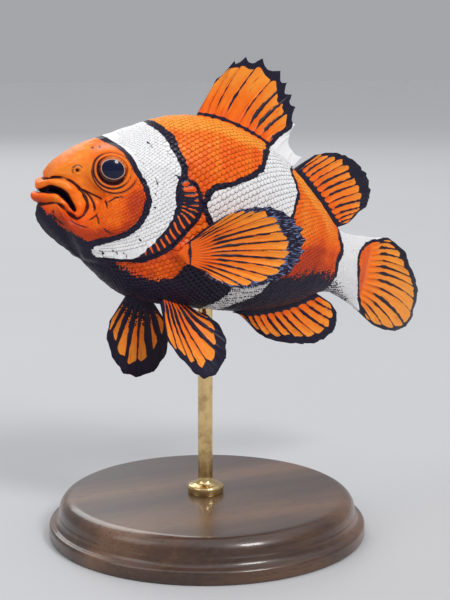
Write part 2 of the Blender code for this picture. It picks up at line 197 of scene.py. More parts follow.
def read_grid(grid: Array, row: Array, column: Array) -> Array:
    """Value of a grid between its points, from the four around each place.

    Args:
        grid: Rows, columns that wrap round, and any number of values.
        row: Row of each place.
        column: Column of each place.

    Returns:
        The values at each place.
    """
    row = np.clip(row, 0, grid.shape[0] - 1.001)
    i, j = np.floor(row).astype(int), np.floor(column).astype(int)
    a, b = (row - i)[..., None], (column - j)[..., None]
    j, k = j % grid.shape[1], (j + 1) % grid.shape[1]
    near = grid[i, j] * (1 - b) + grid[i, k] * b
    far = grid[i + 1, j] * (1 - b) + grid[i + 1, k] * b
    return near * (1 - a) + far * a


# ---- meshes


def grid_faces(rows: int, columns: int, wrapped: bool) -> Array:
    """Corner numbers of the quads of a grid.

    Args:
        rows: Number of rows.
        columns: Number of columns.
        wrapped: True if the last column meets the first.

    Returns:
        One row of four vertex numbers for each quad.
    """
    i, j = np.meshgrid(np.arange(rows - 1), np.arange(columns if wrapped else columns - 1), indexing="ij")
    k = (j + 1) % columns
    return np.stack([i * columns + j, i * columns + k, (i + 1) * columns + k, (i + 1) * columns + j], -1).reshape(-1, 4)


def make_piece(name: str, points: Array, quads: Array, fields: Fields | None = None,
               uv: Array | None = None) -> Object:
    """A finished piece: a smooth mesh at the origin with its place in its vertices, facing outwards.

    Args:
        name: Its name.
        points: Vertices in metres.
        quads: Four corners per face. A face that repeats a corner becomes a triangle.
        fields: Named numbers for each vertex, kept as attributes.
        uv: Place on the bake map of each corner of each quad.

    Returns:
        The object, riding on the root body.
    """
    points = points.reshape(-1, 3)
    corners = points[quads]
    volume = sum(np.einsum("ij,ij->", corners[:, 0], np.cross(corners[:, k], corners[:, k + 1])) for k in (1, 2))
    if volume < 0:
        quads = quads[:, ::-1]
        uv = None if uv is None else uv[:, ::-1]
    keep = quads != np.roll(quads, 1, axis=1)
    counts = keep.sum(1)
    mesh = bpy.data.meshes.new(name)
    mesh.vertices.add(len(points))
    mesh.vertices.foreach_set("co", points.astype(np.float32).ravel())
    mesh.loops.add(int(counts.sum()))
    mesh.loops.foreach_set("vertex_index", quads[keep].astype(np.int32))
    mesh.polygons.add(len(quads))
    mesh.polygons.foreach_set("loop_start", (np.cumsum(counts) - counts).astype(np.int32))
    mesh.update(calc_edges=True)
    mesh.validate()
    mesh.shade_smooth()
    for key, values in (fields or {}).items():
        layer = mesh.attributes.new(key, "FLOAT", "POINT")
        layer.data.foreach_set("value", np.asarray(values, np.float32).ravel())
    if uv is not None:
        layer = mesh.uv_layers.new(name=BAKE_MAP)
        layer.uv.foreach_set("vector", uv[keep].astype(np.float32).ravel())
    made = bpy.data.objects.new(name, mesh)
    bpy.context.scene.collection.objects.link(made)
    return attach(made, "root")


def tube_piece(name: str, points: Array, fields: Fields | None = None, caps: tuple[Cap, Cap] = (Cap.FAN, Cap.FAN),
               down: Array | None = None) -> Object:
    """A tube through rings of points, closed at both ends.

    On the bake map the wall lies flat in a box, and each cap is a small disc above it.

    Args:
        name: Its name.
        points: Rings, points round each ring, and 3 coordinates in metres.
        fields: Named numbers for each point.
        caps: How the first and the last ring are closed.
        down: Share of the way along at each ring, for the bake map, evenly spaced if left out.

    Returns:
        The object.
    """
    rows, columns = points.shape[:2]
    down = np.linspace(0, 1, rows) if down is None else down
    left, bottom, width, height, radius = 0.01, 0.01, 0.98, 0.96, 0.008
    i, j = np.meshgrid(np.arange(rows - 1), np.arange(columns), indexing="ij")
    u = np.stack([j, j + 1, j + 1, j], -1) / columns
    v = np.stack([down[i], down[i], down[i + 1], down[i + 1]], -1)
    uv = [np.stack([left + u * width, bottom + v * height], -1).reshape(-1, 4, 2)]
    quads = [grid_faces(rows, columns, True)]
    flat = points.reshape(-1, 3)
    fields = {key: np.asarray(values).reshape(-1) for key, values in (fields or {}).items()}
    k = np.arange(columns)
    for end, (cap, first) in enumerate(zip(caps, (0, (rows - 1) * columns))):
        if cap is Cap.FAN:
            middle = flat[first:first + columns].mean(0)
            flat = np.concatenate([flat, middle[None]])
            fields = {key: np.append(v, v[first]) for key, v in fields.items()}
            centre = 0 * k + len(flat) - 1
            extra = np.stack([first + k, first + (k + 1) % columns, centre, centre], -1)
            extra = extra if end else extra[:, [1, 0, 2, 3]]
        else:
            # The first and the last strip repeat a corner and so are triangles.
            extra = first + np.stack([k, k + 1, columns - k - 1, (columns - k) % columns], -1)[:columns // 2]
            extra = extra if end else extra[:, ::-1]
        quads.append(extra)
        angle = (extra - first) / columns * 2 * math.pi
        uv.append(np.stack([0.02 + 0.03 * end + radius * np.cos(angle), 0.985 + radius * np.sin(angle)], -1))
    return make_piece(name, flat, np.concatenate(quads), fields, np.concatenate(uv))


# ---- the fish's shape


@dataclass(frozen=True)
class Pose:
    """The curve of the backbone, the tip of the nose and the place above the stand."""

    body_length: float = 72.0
    bend_station: float = 28.0
    tail_swing: float = 43.0  # degrees of heading gained over one body length behind the bend station
    nose_up: float = 16.4  # degrees
    pivot: Point = (-5.0, 0.0, 56.0)
    reach: Pair = (-20.0, 120.0)  # first and last station of the table of the backbone
    table_step: float = 0.1

    def place(self, points: Array) -> Array:
        """Moves straight-frame points to where they are in life.

        The heading grows with the square of the distance behind the bend station, and the backbone is its integral. A
        point keeps its distance to the side of the backbone.

        Args:
            points: Places in millimetres, the last axis holding x, y and z.

        Returns:
            The places in metres.
        """
        fine = np.linspace(*self.reach, 1 + round((self.reach[1] - self.reach[0]) / self.table_step))
        heading = math.radians(self.tail_swing) * (np.clip(fine - self.bend_station, 0, None) / self.body_length) ** 2
        step = fine[1] - fine[0]
        along, across = np.cumsum(np.cos(heading)) * step, np.cumsum(np.sin(heading)) * step
        along, across = (v - np.interp(self.bend_station, fine, v) for v in (along, across))
        x, y, z = points[..., 0], points[..., 1], points[..., 2]
        turn = np.interp(x, fine, heading)
        ahead = np.interp(x, fine, along) - np.sin(turn) * y
        aside = np.interp(x, fine, across) + np.cos(turn) * y
        tip = math.radians(self.nose_up)
        moved = [ahead * math.cos(tip) + z * math.sin(tip), aside, -ahead * math.sin(tip) + z * math.cos(tip)]
        return (np.stack(moved, -1) + np.array(self.pivot)) * MM


@dataclass(frozen=True)
class BodyShape:
    """The body's sections, the slit of the mouth and the lips round it."""

    # Station, height of the back, depth of the belly, half width.
    sections: tuple[Row, ...] = (
        (13.0, 11.8, -11.4, 6.7), (20.0, 15.9, -14.7, 7.5), (28.0, 18.0, -15.0, 7.9), (37.0, 17.4, -14.0, 7.5),
        (46.0, 14.4, -12.5, 6.2), (54.0, 10.0, -9.6, 4.6), (61.0, 5.8, -6.0, 3.2), (67.0, 5.9, -6.8, 2.2),
        (73.0, 6.8, -8.4, 1.2))
    full_belly: float = 0.10
    slim_back: float = -0.08
    mouth_station: float = 1.6
    mouth_height: float = -1.55
    mouth_reach: float = 0.92  # how far back the slit gets for each millimetre of its run
    mouth_arch: float = 0.70  # how steeply the slit rises from its middle
    mouth_drop: float = 0.16  # how fast it turns down again
    mouth_arch_end: float = 5.2  # distance back from which it falls straight to its corner
    mouth_half_length: float = 7.6
    mouth_half_gap: float = 0.45
    mouth_pinch: float = 0.52  # how much nearer the lips come to each other in front
    mouth_pinch_width: float = 1.7
    mouth_turn: float = math.radians(80)
    mouth_turn_length: float = 2.9
    face_slope: float = math.radians(32)
    jaw_jut: float = 0.25  # how far the lower lip stands ahead of the slit, and the upper lip behind it
    # From inside the mouth over the lip to the groove behind it: growth of the slit, push outwards.
    lip: tuple[Pair, ...] = ((-0.1, -0.8), (0.2, 0.3), (0.7, 0.66), (1.3, 0.62), (1.75, 0.05))
    lip_full: float = 0.9  # share by which the upper lip is wider at the corners
    lip_thin: float = 0.55  # share by which the lower lip is narrower there
    lip_end: float = 0.65  # share of the growth that reaches past the corners
    lip_blunt: float = 0.15  # how fast the ends of the rings get blunter as they grow
    face_station: float = 13.0
    face_leave: float = 0.22  # how steeply the face leaves the groove at the corners of the mouth
    face_leave_more: float = 0.40  # and how much more steeply over and under it

    def sizes(self, station: Array) -> tuple[Array, Array, Array]:
        """Height of the back, depth of the belly and half width at each station."""
        stations, *sizes = np.array(self.sections).T
        return tuple(smooth_curve(stations, size, station) for size in sizes)

    def flank(self, station: Array, angle: Array) -> Array:
        """Points of the body's surface.

        A section is an ellipse between back and belly, made fuller or slimmer by a share of the squared sine.

        Args:
            station: Distance behind the snout.
            angle: Place round the section. 0 is the left side and a quarter turn is the back.

        Returns:
            The points.
        """
        station, angle = np.broadcast_arrays(station, angle)
        back, belly, half = self.sizes(station)
        side, up = np.cos(angle), np.sin(angle)
        fuller = 1 + np.where(up > 0, self.slim_back, self.full_belly) * up**2
        height = 0.5 * (back + belly) + 0.5 * (back - belly) * up
        return np.stack([station, -half * side * fuller, height], -1)

    def mouth_point(self, along: Array, up: Array, out: Array) -> Array:
        """Points near the lips.

        The slit's heading follows a hyperbolic tangent of the distance from its middle, and the slit is its integral.
        Its height is a parabola of the way back and then a straight line. Towards the corners, up is square to it.

        Args:
            along: Distance along the slit from its middle, to the left.
            up: Distance up from it over the face.
            out: Distance out from the face.

        Returns:
            The points.
        """
        half_count, longest = 280, 14.0
        fine = np.linspace(-longest, longest, 2 * half_count + 1)
        turn = self.mouth_turn * np.tanh(fine / self.mouth_turn_length)
        step = fine[1] - fine[0]
        back, aside = np.cumsum(np.sin(turn)) * step, np.cumsum(np.cos(turn)) * step
        heading = self.mouth_turn * np.tanh(along / self.mouth_turn_length)
        back, aside = (np.interp(along, fine, run - run[half_count]) for run in (back, aside))
        near = np.minimum(back, self.mouth_arch_end)
        slope = self.mouth_arch - 2 * self.mouth_drop * near
        height = self.mouth_height + (self.mouth_arch - self.mouth_drop * near) * near + slope * (back - near)
        lean = self.face_slope * ease(0.9, 3.0, np.abs(up)) * np.cos(0.7 * heading)
        fall = np.arctan2(slope, self.mouth_reach) * np.sin(heading) ** 2
        ahead = (self.jaw_jut * np.tanh(2 * up) - out) * np.cos(heading)
        x = self.mouth_station + back * self.mouth_reach + np.abs(up) * np.sin(lean) - up * np.sin(fall) + ahead
        return np.stack([x, -aside - out * np.sin(heading), height + up * np.cos(lean) * np.cos(fall)], -1)

    def mouth_ring(self, grow: Array, out: Array, angle: Array) -> Array:
        """Rings round the slit, grown on every side and pushed outwards.

        A ring is an ellipse whose cosine and sine are raised to a power that falls as it grows, for blunter ends. In
        front, a Gaussian curve of the distance along the slit is taken off the height of the inner rings.

        Args:
            grow: How far the ring is grown.
            out: How far it is pushed outwards.
            angle: Place round the ring. 0 is the left corner and a quarter turn is the top.

        Returns:
            The points.
        """
        aside, up = np.cos(angle), np.sin(angle)
        blunt = 1 - self.lip_blunt * np.maximum(grow, 0)
        wide = np.where(up > 0, 1 + self.lip_full * aside**2, 1 - self.lip_thin * aside**2)
        along = (self.mouth_half_length + grow * self.lip_end) * np.sign(aside) * np.abs(aside) ** blunt
        pinch = self.mouth_pinch * (0.62 + 0.38 * ease(-0.1, 0.2, grow)) * ease(1.5, 0.2, grow)
        pinch = pinch * np.exp(-(along / self.mouth_pinch_width) ** 2)
        height = (self.mouth_half_gap + grow * wide) * np.abs(up) ** blunt
        return self.mouth_point(along, np.sign(up) * (height - np.minimum(pinch, 0.95 * height)), out)

    def lip_rings(self, share: Array, angle: Array) -> Array:
        """Rings over the lip, from inside the mouth at share 0 to the groove behind the lip at 1."""
        grow, out = (smooth_curve(np.linspace(0, 1, len(run)), run, share)[:, None] for run in np.array(self.lip).T)
        return self.mouth_ring(grow, out, angle[None, :])

    def face_rings(self, share: Array, angle: Array) -> Array:
        """Rings from the groove behind the lips to the first section of the body.

        Each line of the face is a cubic curve that leaves the groove outwards and meets the body along its surface.

        Args:
            share: How far along each ring lies, from 0 to 1.
            angle: Places round the rings.

        Returns:
            Rings, points round them, and coordinates.
        """
        grow, out = self.lip[-1]
        start = self.mouth_ring(np.array(grow), np.array(out), angle)
        further = out + self.face_leave + self.face_leave_more * np.sin(angle) ** 4
        leave = unit(self.mouth_ring(np.array(grow + 0.5), further, angle) - start)
        end = self.flank(self.face_station, angle)
        arrive = unit(self.flank(self.face_station + 0.5, angle) - end)
        reach = np.linalg.norm(end - start, axis=-1, keepdims=True)
        t = share[:, None, None]
        rise = t * t * (3 - 2 * t)
        bow = t * (1 - t) ** 2 * leave + t * t * (t - 1) * arrive
        return start * (1 - rise) + end * rise + bow * reach


# ---- markings


@dataclass(frozen=True)
class Bar:
    """A white bar between two edges, each a smooth curve of station over height, with dark bands along them."""

    heights: Row
    front: Row
    rear_heights: Row
    rear: Row
    front_band: float
    rear_band: float
    raggedness: float
    steepest: float = 2.0  # largest slope of an edge that shortens the distance to it

    def measure(self, points: Array) -> tuple[Array, Array]:
        """How deep each point lies in the bar, and in its dark bands.

        Args:
            points: The places.

        Returns:
            Distance inside the white, negative outside it, and inside the dark bands.
        """
        ragged = self.raggedness * (ripples(points, 2.6, 11) + 0.5 * ripples(points, 1.1, 12))
        points = points + ragged[..., None] * np.array([1.0, 0.0, 0.0])
        front = edge_distance(self.heights, self.front, points, self.steepest)[0]
        rear = -edge_distance(self.rear_heights, self.rear, points, self.steepest)[0]
        return np.minimum(front, rear), np.minimum(front + self.front_band, rear + self.rear_band)


@dataclass(frozen=True)
class Markings:
    """Everything that colours the fish, with its painted light and shade, as fields of the straight frame."""

    head_bar: Bar = Bar(
        heights=(-10.6, -9.8, -9.0, -8.1, -7.2, -6.0, -4.1, -1.8, 0.9, 2.4, 4.1, 6.1, 7.5, 8.7, 9.6, 10.6, 14.0),
        front=(15.0, 12.8, 11.7, 11.8, 13.1, 15.1, 17.1, 18.3, 18.6, 18.1, 17.0, 15.0, 13.8, 12.4, 10.8, 9.4, 9.0),
        rear_heights=(-10.6, -9.9, -9.3, -8.8, -7.6, -6.2, -4.1, -2.2, 0.2, 1.9, 4.2, 6.0, 7.7, 10.5, 12.5, 13.6, 14.6,
                      15.6),
        rear=(10.5, 11.8, 14.2, 17.0, 19.1, 20.0, 21.1, 22.1, 22.7, 22.7, 22.1, 22.4, 22.4, 20.6, 19.0, 17.2, 15.6,
              14.8),
        front_band=1.05, rear_band=1.35, raggedness=0.10)
    middle_bar: Bar = Bar(
        heights=(-14.5, -12.8, -10.6, -9.0, -5.0, -1.5, 1.3, 2.6, 3.8, 5.0, 6.2, 8.0, 10.1, 12.6, 14.6, 16.4, 18.0,
                 19.6, 21.0),
        front=(35.2, 36.0, 37.6, 37.9, 36.6, 33.0, 29.8, 28.9, 28.6, 28.9, 30.0, 33.6, 36.9, 38.9, 39.7, 41.5, 42.8,
               44.2, 45.4),
        rear_heights=(-14.0, -12.6, -11.2, -8.6, -7.4, -3.0, 1.0, 5.2, 7.4, 9.2, 11.7, 13.5, 15.2, 16.4, 17.8, 20.0),
        rear=(38.4, 39.6, 41.3, 44.2, 44.8, 45.2, 45.2, 45.5, 45.9, 46.5, 45.7, 45.4, 49.0, 51.5, 52.5, 52.5),
        front_band=1.05, rear_band=0.75, raggedness=0.16)
    tail_bar: Bar = Bar(
        heights=(-7.0, -4.8, -2.8, 0.0, 2.3, 4.8, 7.0),
        front=(60.0, 60.1, 60.6, 60.1, 60.7, 60.0, 60.2),
        rear_heights=(-7.4, -5.3, -2.9, -0.6, 1.5, 3.8, 4.9, 5.7, 6.6),
        rear=(71.0, 69.2, 67.2, 65.8, 65.1, 66.2, 67.8, 69.8, 72.5),
        front_band=0.95, rear_band=0.75, raggedness=0.08)
    # Station and height of the back, along which the orange is painted lighter as a painted highlight.
    lit_ridge_stations: Row = (13.0, 20.0, 28.0, 37.0, 46.0, 54.0, 61.0)
    lit_ridge_heights: Row = (11.8, 15.9, 18.0, 17.4, 14.4, 9.0, 2.0)
    # Station and height of the jaw's edge, along which the orange is painted deeper as shade.
    jaw_shade_stations: Row = (2.0, 5.0, 8.0, 11.0, 14.0, 16.5)
    jaw_shade_heights: Row = (-4.0, -5.6, -6.6, -6.6, -5.4, -2.6)
    # Patches of painted shade on the cheek and behind the head bar: station, height, squeeze, width, strength.
    shade_patches: tuple[Row, ...] = ((15.8, 0.2, 0.8, 2.6, 1.1), (24.5, 5.0, 1.0, 4.0, 0.6))
    # Share by which each bar keeps its white clear of the painted shade of the underside.
    bar_light: Point = (0.93, 0.70, 0.45)  # how well each bar holds out against the dark belly
    stroke_half: float = 0.10
    stroke_bow: float = 0.15
    # Ink strokes on the white: station and height of both ends.
    strokes: tuple[Row, ...] = (
        (16.4, 10.6, 17.3, 10.0), (18.3, 5.2, 18.9, 4.2), (18.4, 3.4, 18.9, 2.6), (19.2, 0.6, 19.7, 0.2),
        (17.7, -4.9, 18.5, -5.2), (14.7, -7.9, 15.5, -8.3), (12.7, -8.5, 13.6, -8.9), (16.4, -7.9, 17.1, -8.3))
    # Height under which the belly is painted dark as shade, and how high the dots of painted shade reach above it, by
    # station.
    dusk_stations: Row = (
        2.0, 3.2, 5.0, 7.0, 10.0, 14.0, 18.0, 21.0, 24.5, 26.6, 28.0, 31.0, 39.0, 44.0, 48.0, 52.0, 56.0, 60.0, 64.0,
        70.0)
    dusk_heights: Row = (
        -3.6, -4.4, -5.7, -6.6, -7.6, -9.8, -11.4, -11.8, -11.4, -9.6, -7.4, -8.2, -8.8, -7.4, -6.4, -5.4, -4.5, -4.2,
        -5.6, -9.5)
    underside_shade_reach: Row = (
        0.16, 0.16, 0.18, 0.25, 0.4, 1.2, 2.2, 2.4, 2.2, 1.2, 1.0, 1.6, 2.6, 3.0, 3.6, 4.0, 4.0, 3.4, 1.6, 0.6)

    def fields(self, points: Array, bars: tuple[int, ...] = (0, 1, 2)) -> Fields:
        """Measures every marking at points of the body or of its fins.

        Args:
            points: The places.
            bars: Numbers of the bars that are there, from the head back.

        Returns:
            white and ink, distances inside the white and the black; underside shade, 1 where the belly is painted dark
            as shade; tone and shading, with painted light and shade; and crease shade, 1 where painted shade lies in a
            fold.
        """
        x, z = points[..., 0], points[..., 2]
        white, ink = np.full(x.shape, -9.0), np.full(x.shape, -9.0)
        lit = np.zeros(x.shape)
        for number, bar in enumerate((self.head_bar, self.middle_bar, self.tail_bar)):
            if number not in bars:
                continue
            inside, band = bar.measure(points)
            white, ink = np.maximum(white, inside), np.maximum(ink, band)
            lit = np.maximum(lit, self.bar_light[number] * ease(-0.3, 0.3, inside))
        for x0, z0, x1, z1 in self.strokes if 0 in bars else ():
            ahead, above, run, rise = x - x0, z - z0, x1 - x0, z1 - z0
            share = np.clip((ahead * run + above * rise) / math.hypot(run, rise) ** 2, 0, 1)
            bow = self.stroke_bow * np.sin(math.pi * share)
            away = np.hypot(ahead - share * run, above - share * rise - bow)
            white = np.minimum(white, away - self.stroke_half)
            ink = np.maximum(ink, self.stroke_half - away)
        # Painted shade: the underside is dark under a line along the body, and above it the dark breaks up into dots.
        floor = smooth_curve(self.dusk_stations, self.dusk_heights, x)
        reach = smooth_curve(self.dusk_stations, self.underside_shade_reach, x)
        uneven = 0.35 * ripples(points, 4.0, 21) * np.minimum(reach, 1)
        dusk = (1 - ease(-0.1, 1.0, (z - floor + uneven) / reach)) * (1 - lit)
        tone = self.tone(points, z - floor - reach)
        return {"white": white, "ink": ink, "dusk": dusk, "tone": tone, "crease": np.zeros(x.shape)}

    def tone(self, points: Array, above_underside_shade: Array) -> Array:
        """How light the orange is, with painted light and shade: eased steps of station and height, and Gaussians
        round the darker places.

        Args:
            points: The places.
            above_underside_shade: Height above the highest dots of the painted shade of the underside.

        Returns:
            The tone with its painted light and shade, from -1 for deep orange to 1 for light.
        """
        x, z = points[..., 0], points[..., 2]
        ridge = z - np.interp(x, self.lit_ridge_stations, self.lit_ridge_heights)
        jaw = z - np.interp(x, self.jaw_shade_stations, self.jaw_shade_heights)
        # Painted light: a little lighter higher up, and a lighter band along the top of the back.
        tone = 0.05 * ease(6.0, 15.0, z) + 0.95 * ease(-3.0, -1.6, ridge) * ease(13, 16, x) * ease(60, 50, x)
        # Painted light on the upper face, and painted shade low down.
        tone += 0.45 * ease(14, 5, x) * ease(-5, 4, z) - 0.6 * ease(0.0, -9.0, z)
        # Painted shade on the cheek and behind the head bar.
        for station, height, squeeze, width, strength in self.shade_patches:
            tone -= strength * bell(np.hypot(x - station, (z - height) * squeeze), width)
        # Painted shade along the jaw's edge.
        tone -= 0.9 * bell(jaw, 1.5) * ease(17.5, 15.0, x)
        # Painted shade just above the underside's shade, on the trunk.
        tone -= 0.9 * ease(4.2, 1.2, above_underside_shade) * ease(28, 36, x)
        return tone + 0.22 * ripples(points, 9.0, 31) + 0.12 * ripples(points, 3.0, 32)


@dataclass(frozen=True)
class GillEdge:
    """The rear edge of a gill cover and the ribbed strip of skin along it."""

    heights: Row = (-10.9, -10.5, -8.6, -7.0, -5.5, -3.8, -2.3, -0.6, 0.9, 2.3, 3.8, 5.9, 8.0, 10.0)
    stations: Row = (11.0, 13.4, 18.2, 21.2, 22.9, 24.2, 25.1, 26.1, 26.9, 27.1, 26.6, 24.9, 22.2, 19.6)
    # Width of the dark strip in front of the edge, by height.
    strip_heights: Row = (-10.0, -7.5, -5.4, -2.5, 0.5, 2.2, 4.0, 6.0)
    strip: Row = (1.6, 2.1, 2.6, 2.8, 3.6, 4.0, 3.2, 1.7)
    behind: float = 0.85  # how far the dark runs on behind it
    rib_pitch: float = 1.16
    rib_half: float = 0.19
    rib_round: float = 0.35  # length of a rib's rounded end
    rib_gaps: Row = (0.55, 0.15, 0.5, 0.4)  # to the strip's front, rear, top and bottom
    edge_rise: float = 0.42  # height of the cover's edge
    edge_drop: float = 0.30  # depth of the skin just behind it
    rib_rise: float = 0.26
    strip_sink: float = 0.16  # how deep the strip lies between the ribs
    top: float = 6.6
    bottom: float = -8.7
    crossing: float = 1.0  # height under which the white bar crosses the strip's front
    fade_in: float = 1.0  # height over which the edge begins at its lower end
    fade_out: float = 3.0  # and ends at its upper one

    def width(self, height: Array) -> Array:
        """Width of the strip at each height."""
        return smooth_curve(self.strip_heights, self.strip, height)

    def measure(self, points: Array) -> tuple[Array, Array, Array]:
        """Where points lie by the edge.

        Args:
            points: The places.

        Returns:
            Distance behind the edge and from the nearest rib, and from 0 to 1 how fully the edge is there.
        """
        z = points[..., 2]
        low, high = self.heights[0], self.heights[-1]
        behind, slope = edge_distance(self.heights, self.stations, points)
        fine = np.linspace(low, high, 400)
        ahead = smooth_curve(self.heights, self.stations, fine)
        along = np.concatenate([[0], np.cumsum(np.hypot(np.diff(fine), np.diff(ahead)))])
        # The distance along the edge is uneven, so that no two ribs are alike.
        place = np.interp(z + behind * slope / np.sqrt(1 + slope**2), fine, along)
        place = place + 0.14 * ripples(points, 4.0, 41) + 0.16 * behind
        rib = np.abs((place / self.rib_pitch) % 1 - 0.5) * self.rib_pitch
        there = ease(low, low + self.fade_in, z) * ease(high, high - self.fade_out, z)
        return behind, rib, there

    def mark(self, points: Array, found: Fields) -> None:
        """Lays the black strip with its ribs over the body's markings.

        A rib is left orange, ends round a little short of the strip's edges, and is widest near the top.

        Args:
            points: The places.
            found: The body's markings there, which it changes in place.
        """
        behind, rib, _ = self.measure(points)
        z = points[..., 2]
        width = self.width(z)
        band = np.minimum(np.minimum(behind + width, self.behind - behind), np.minimum(self.top - z, z - self.bottom))
        front, rear, top, bottom = self.rib_gaps
        ends = np.minimum(behind + width - front, -rear - behind)
        ends = np.minimum(ends, np.minimum(self.top - top - z, z - self.bottom - bottom))
        wide = self.rib_half * (1 + 1.5 * bell(z - self.top + 1.4, 0.8))
        inside = wide - np.hypot(rib, np.clip(self.rib_round - ends, 0, None) * 0.8)
        found["ink"] = np.minimum(np.maximum(found["ink"], band), -inside)
        found["white"] = np.minimum(found["white"], -np.minimum(band, z - self.crossing))

    def relief(self, points: Array) -> Array:
        """How far the cover's edge, the hollow behind it and the ribs stand out.

        Args:
            points: The places.

        Returns:
            The push outwards.
        """
        behind, rib, there = self.measure(points)
        z = points[..., 2]
        start = -self.width(z)
        strip = ease(start - 0.1, start + 0.4, behind) * (1 - ease(-0.25, 0.0, behind))
        strip = strip * ease(self.bottom, self.bottom + 0.8, z) * ease(self.top + 0.2, self.top - 0.6, z)
        push = self.edge_rise * ease(-4.5, -0.2, behind) * (1 - ease(-0.05, 0.25, behind))
        push -= self.edge_drop * ease(0.0, 0.3, behind) * (1 - ease(0.8, 3.0, behind))
        push += strip * (self.rib_rise * ease(0.44, 0.10, rib) - self.strip_sink)
        return push * there


@dataclass(frozen=True)
class Fold:
    """A groove in the skin of both sides along a curve of station and height, with a swelling beside it and painted
    shade in the groove.
    """

    stations: Row
    heights: Row
    width: float
    depth: float
    swell: float  # height of the swelling beside it
    # How dark the groove's painted shade is.
    shade: float  # how dark the groove is

    def measure(self, points: Array) -> tuple[Array, Array]:
        """How far the fold pushes the skin out, and how dark it paints the groove as shade.

        The groove is a Gaussian of the distance to the curve, and the swelling a wider one beside it. Both fade out
        towards its ends.

        Args:
            points: The places.

        Returns:
            The push, and the darkness of the painted shade from 0 to 1.
        """
        knots = np.arange(len(self.stations))
        at = np.linspace(0, len(self.stations) - 1, 14 * len(self.stations))
        across, up = smooth_curve(knots, self.stations, at), smooth_curve(knots, self.heights, at)
        x, z = points[..., 0], points[..., 2]
        room = 5 * self.width
        close = (x > across.min() - room) & (x < across.max() + room) & (z > up.min() - room) & (z < up.max() + room)
        ahead, above = x[close][:, None] - across, z[close][:, None] - up
        nearest = (ahead**2 + above**2).argmin(1)
        line = np.arange(len(nearest))
        ahead, above = ahead[line, nearest], above[line, nearest]
        run, rise = np.gradient(across)[nearest], np.gradient(up)[nearest]
        away = (run * above - rise * ahead) / np.hypot(run, rise)
        away = np.where(np.abs(away) < np.hypot(ahead, above) * 0.7, np.hypot(ahead, above), away)
        fade = np.sin(math.pi * np.clip(nearest / (len(at) - 1), 0.02, 0.98)) ** 0.6
        push, shade = np.zeros(x.shape), np.zeros(x.shape)
        groove = bell(away, self.width) * fade
        push[close] = self.swell * bell(away - 2.0 * self.width, 1.5 * self.width) * fade - self.depth * groove
        shade[close] = self.shade * bell(away, 0.75 * self.width) * np.minimum(1.6 * fade, 1)
        return push, shade


@dataclass(frozen=True)
class Orbit:
    """An eye's place and ball, and the ring of skin round it. The gaze leans forward from straight sideways."""

    centre: Point = (11.5, 4.3, 4.8)  # station, width, height
    radius: float = 3.0
    flatness: float = 0.85
    forward: float = math.radians(18)
    # Distance from the gaze axis, and height of the skin along it above the ball's middle.
    ring: Row = (0.0, 1.8, 2.2, 2.4, 2.6, 2.9, 3.15, 3.5, 4.0, 4.8)
    rise: Row = (1.0, 1.1, 1.35, 1.74, 1.96, 1.96, 1.66, 1.74, 1.60, 1.30)
    upper_lid: float = 1.22  # how much nearer the ring lies above the pupil
    blend: Pair = (3.4, 5.6)  # distances over which the ring goes over into the face
    deepest: float = -3.4  # height along the gaze under which the skin stays where it is

    def axes(self, side: Side) -> tuple[Array, Array, Array, Array]:
        """The eye's own axes.

        Args:
            side: Which eye.

        Returns:
            The ball's middle, its gaze, the way up across it, and the way back across it.
        """
        x, width, z = self.centre
        out = -side.value
        gaze = np.array([-math.sin(self.forward), out * math.cos(self.forward), 0])
        up = np.array([0.0, 0.0, 1.0])
        back = np.array([math.cos(self.forward), out * math.sin(self.forward), 0])
        return np.array([x, out * width, z]), gaze, up, back

    def shape(self, points: Array, side: Side) -> tuple[Array, Array]:
        """Moves skin near the eye onto the ring round it.

        Within the ring its height along the gaze follows the profile. From there it eases back to where it was.

        Args:
            points: The places.
            side: Which eye.

        Returns:
            The moved points, and how dark the painted shade in the grooves of the ring is.
        """
        centre, gaze, up, back = self.axes(side)
        offset = points - centre
        height = offset @ gaze
        above, behind = offset @ up, offset @ back
        away = np.hypot(above * (1 + (self.upper_lid - 1) * ease(-0.4, 1.2, above)), behind)
        outer = -side.value * points[..., 1] > 0.8
        # The ring is a little fuller under the eye.
        fuller = 0.14 * ease(0.5, -2.6, above) * ease(2.3, 2.9, away)
        target = smooth_curve(self.ring, self.rise, away) + fuller + 0.04 * ripples(points, 1.6, 51)
        share = ease(self.blend[1], self.blend[0], away) * outer * ease(self.deepest, self.deepest + 1.2, height)
        moved = points + (share * (target - height))[..., None] * gaze
        # Painted shade at the lid's edge, in the ring's groove and in the bag under the eye, darker underneath.
        under = ease(1.2, -1.0, above + 0.7 * behind)
        lid = bell(away - 2.42, 0.14 + 0.10 * under) * (0.35 + 0.65 * under)
        groove = bell(away - 3.15, 0.10 + 0.06 * under) * (0.55 + 0.3 * under)
        bag = bell(away - 3.75 - 0.1 * behind, 0.14) * ease(0.4, -1.6, above) * 0.75
        return moved, outer * (height > self.deepest) * np.maximum(np.maximum(groove, lid), bag)


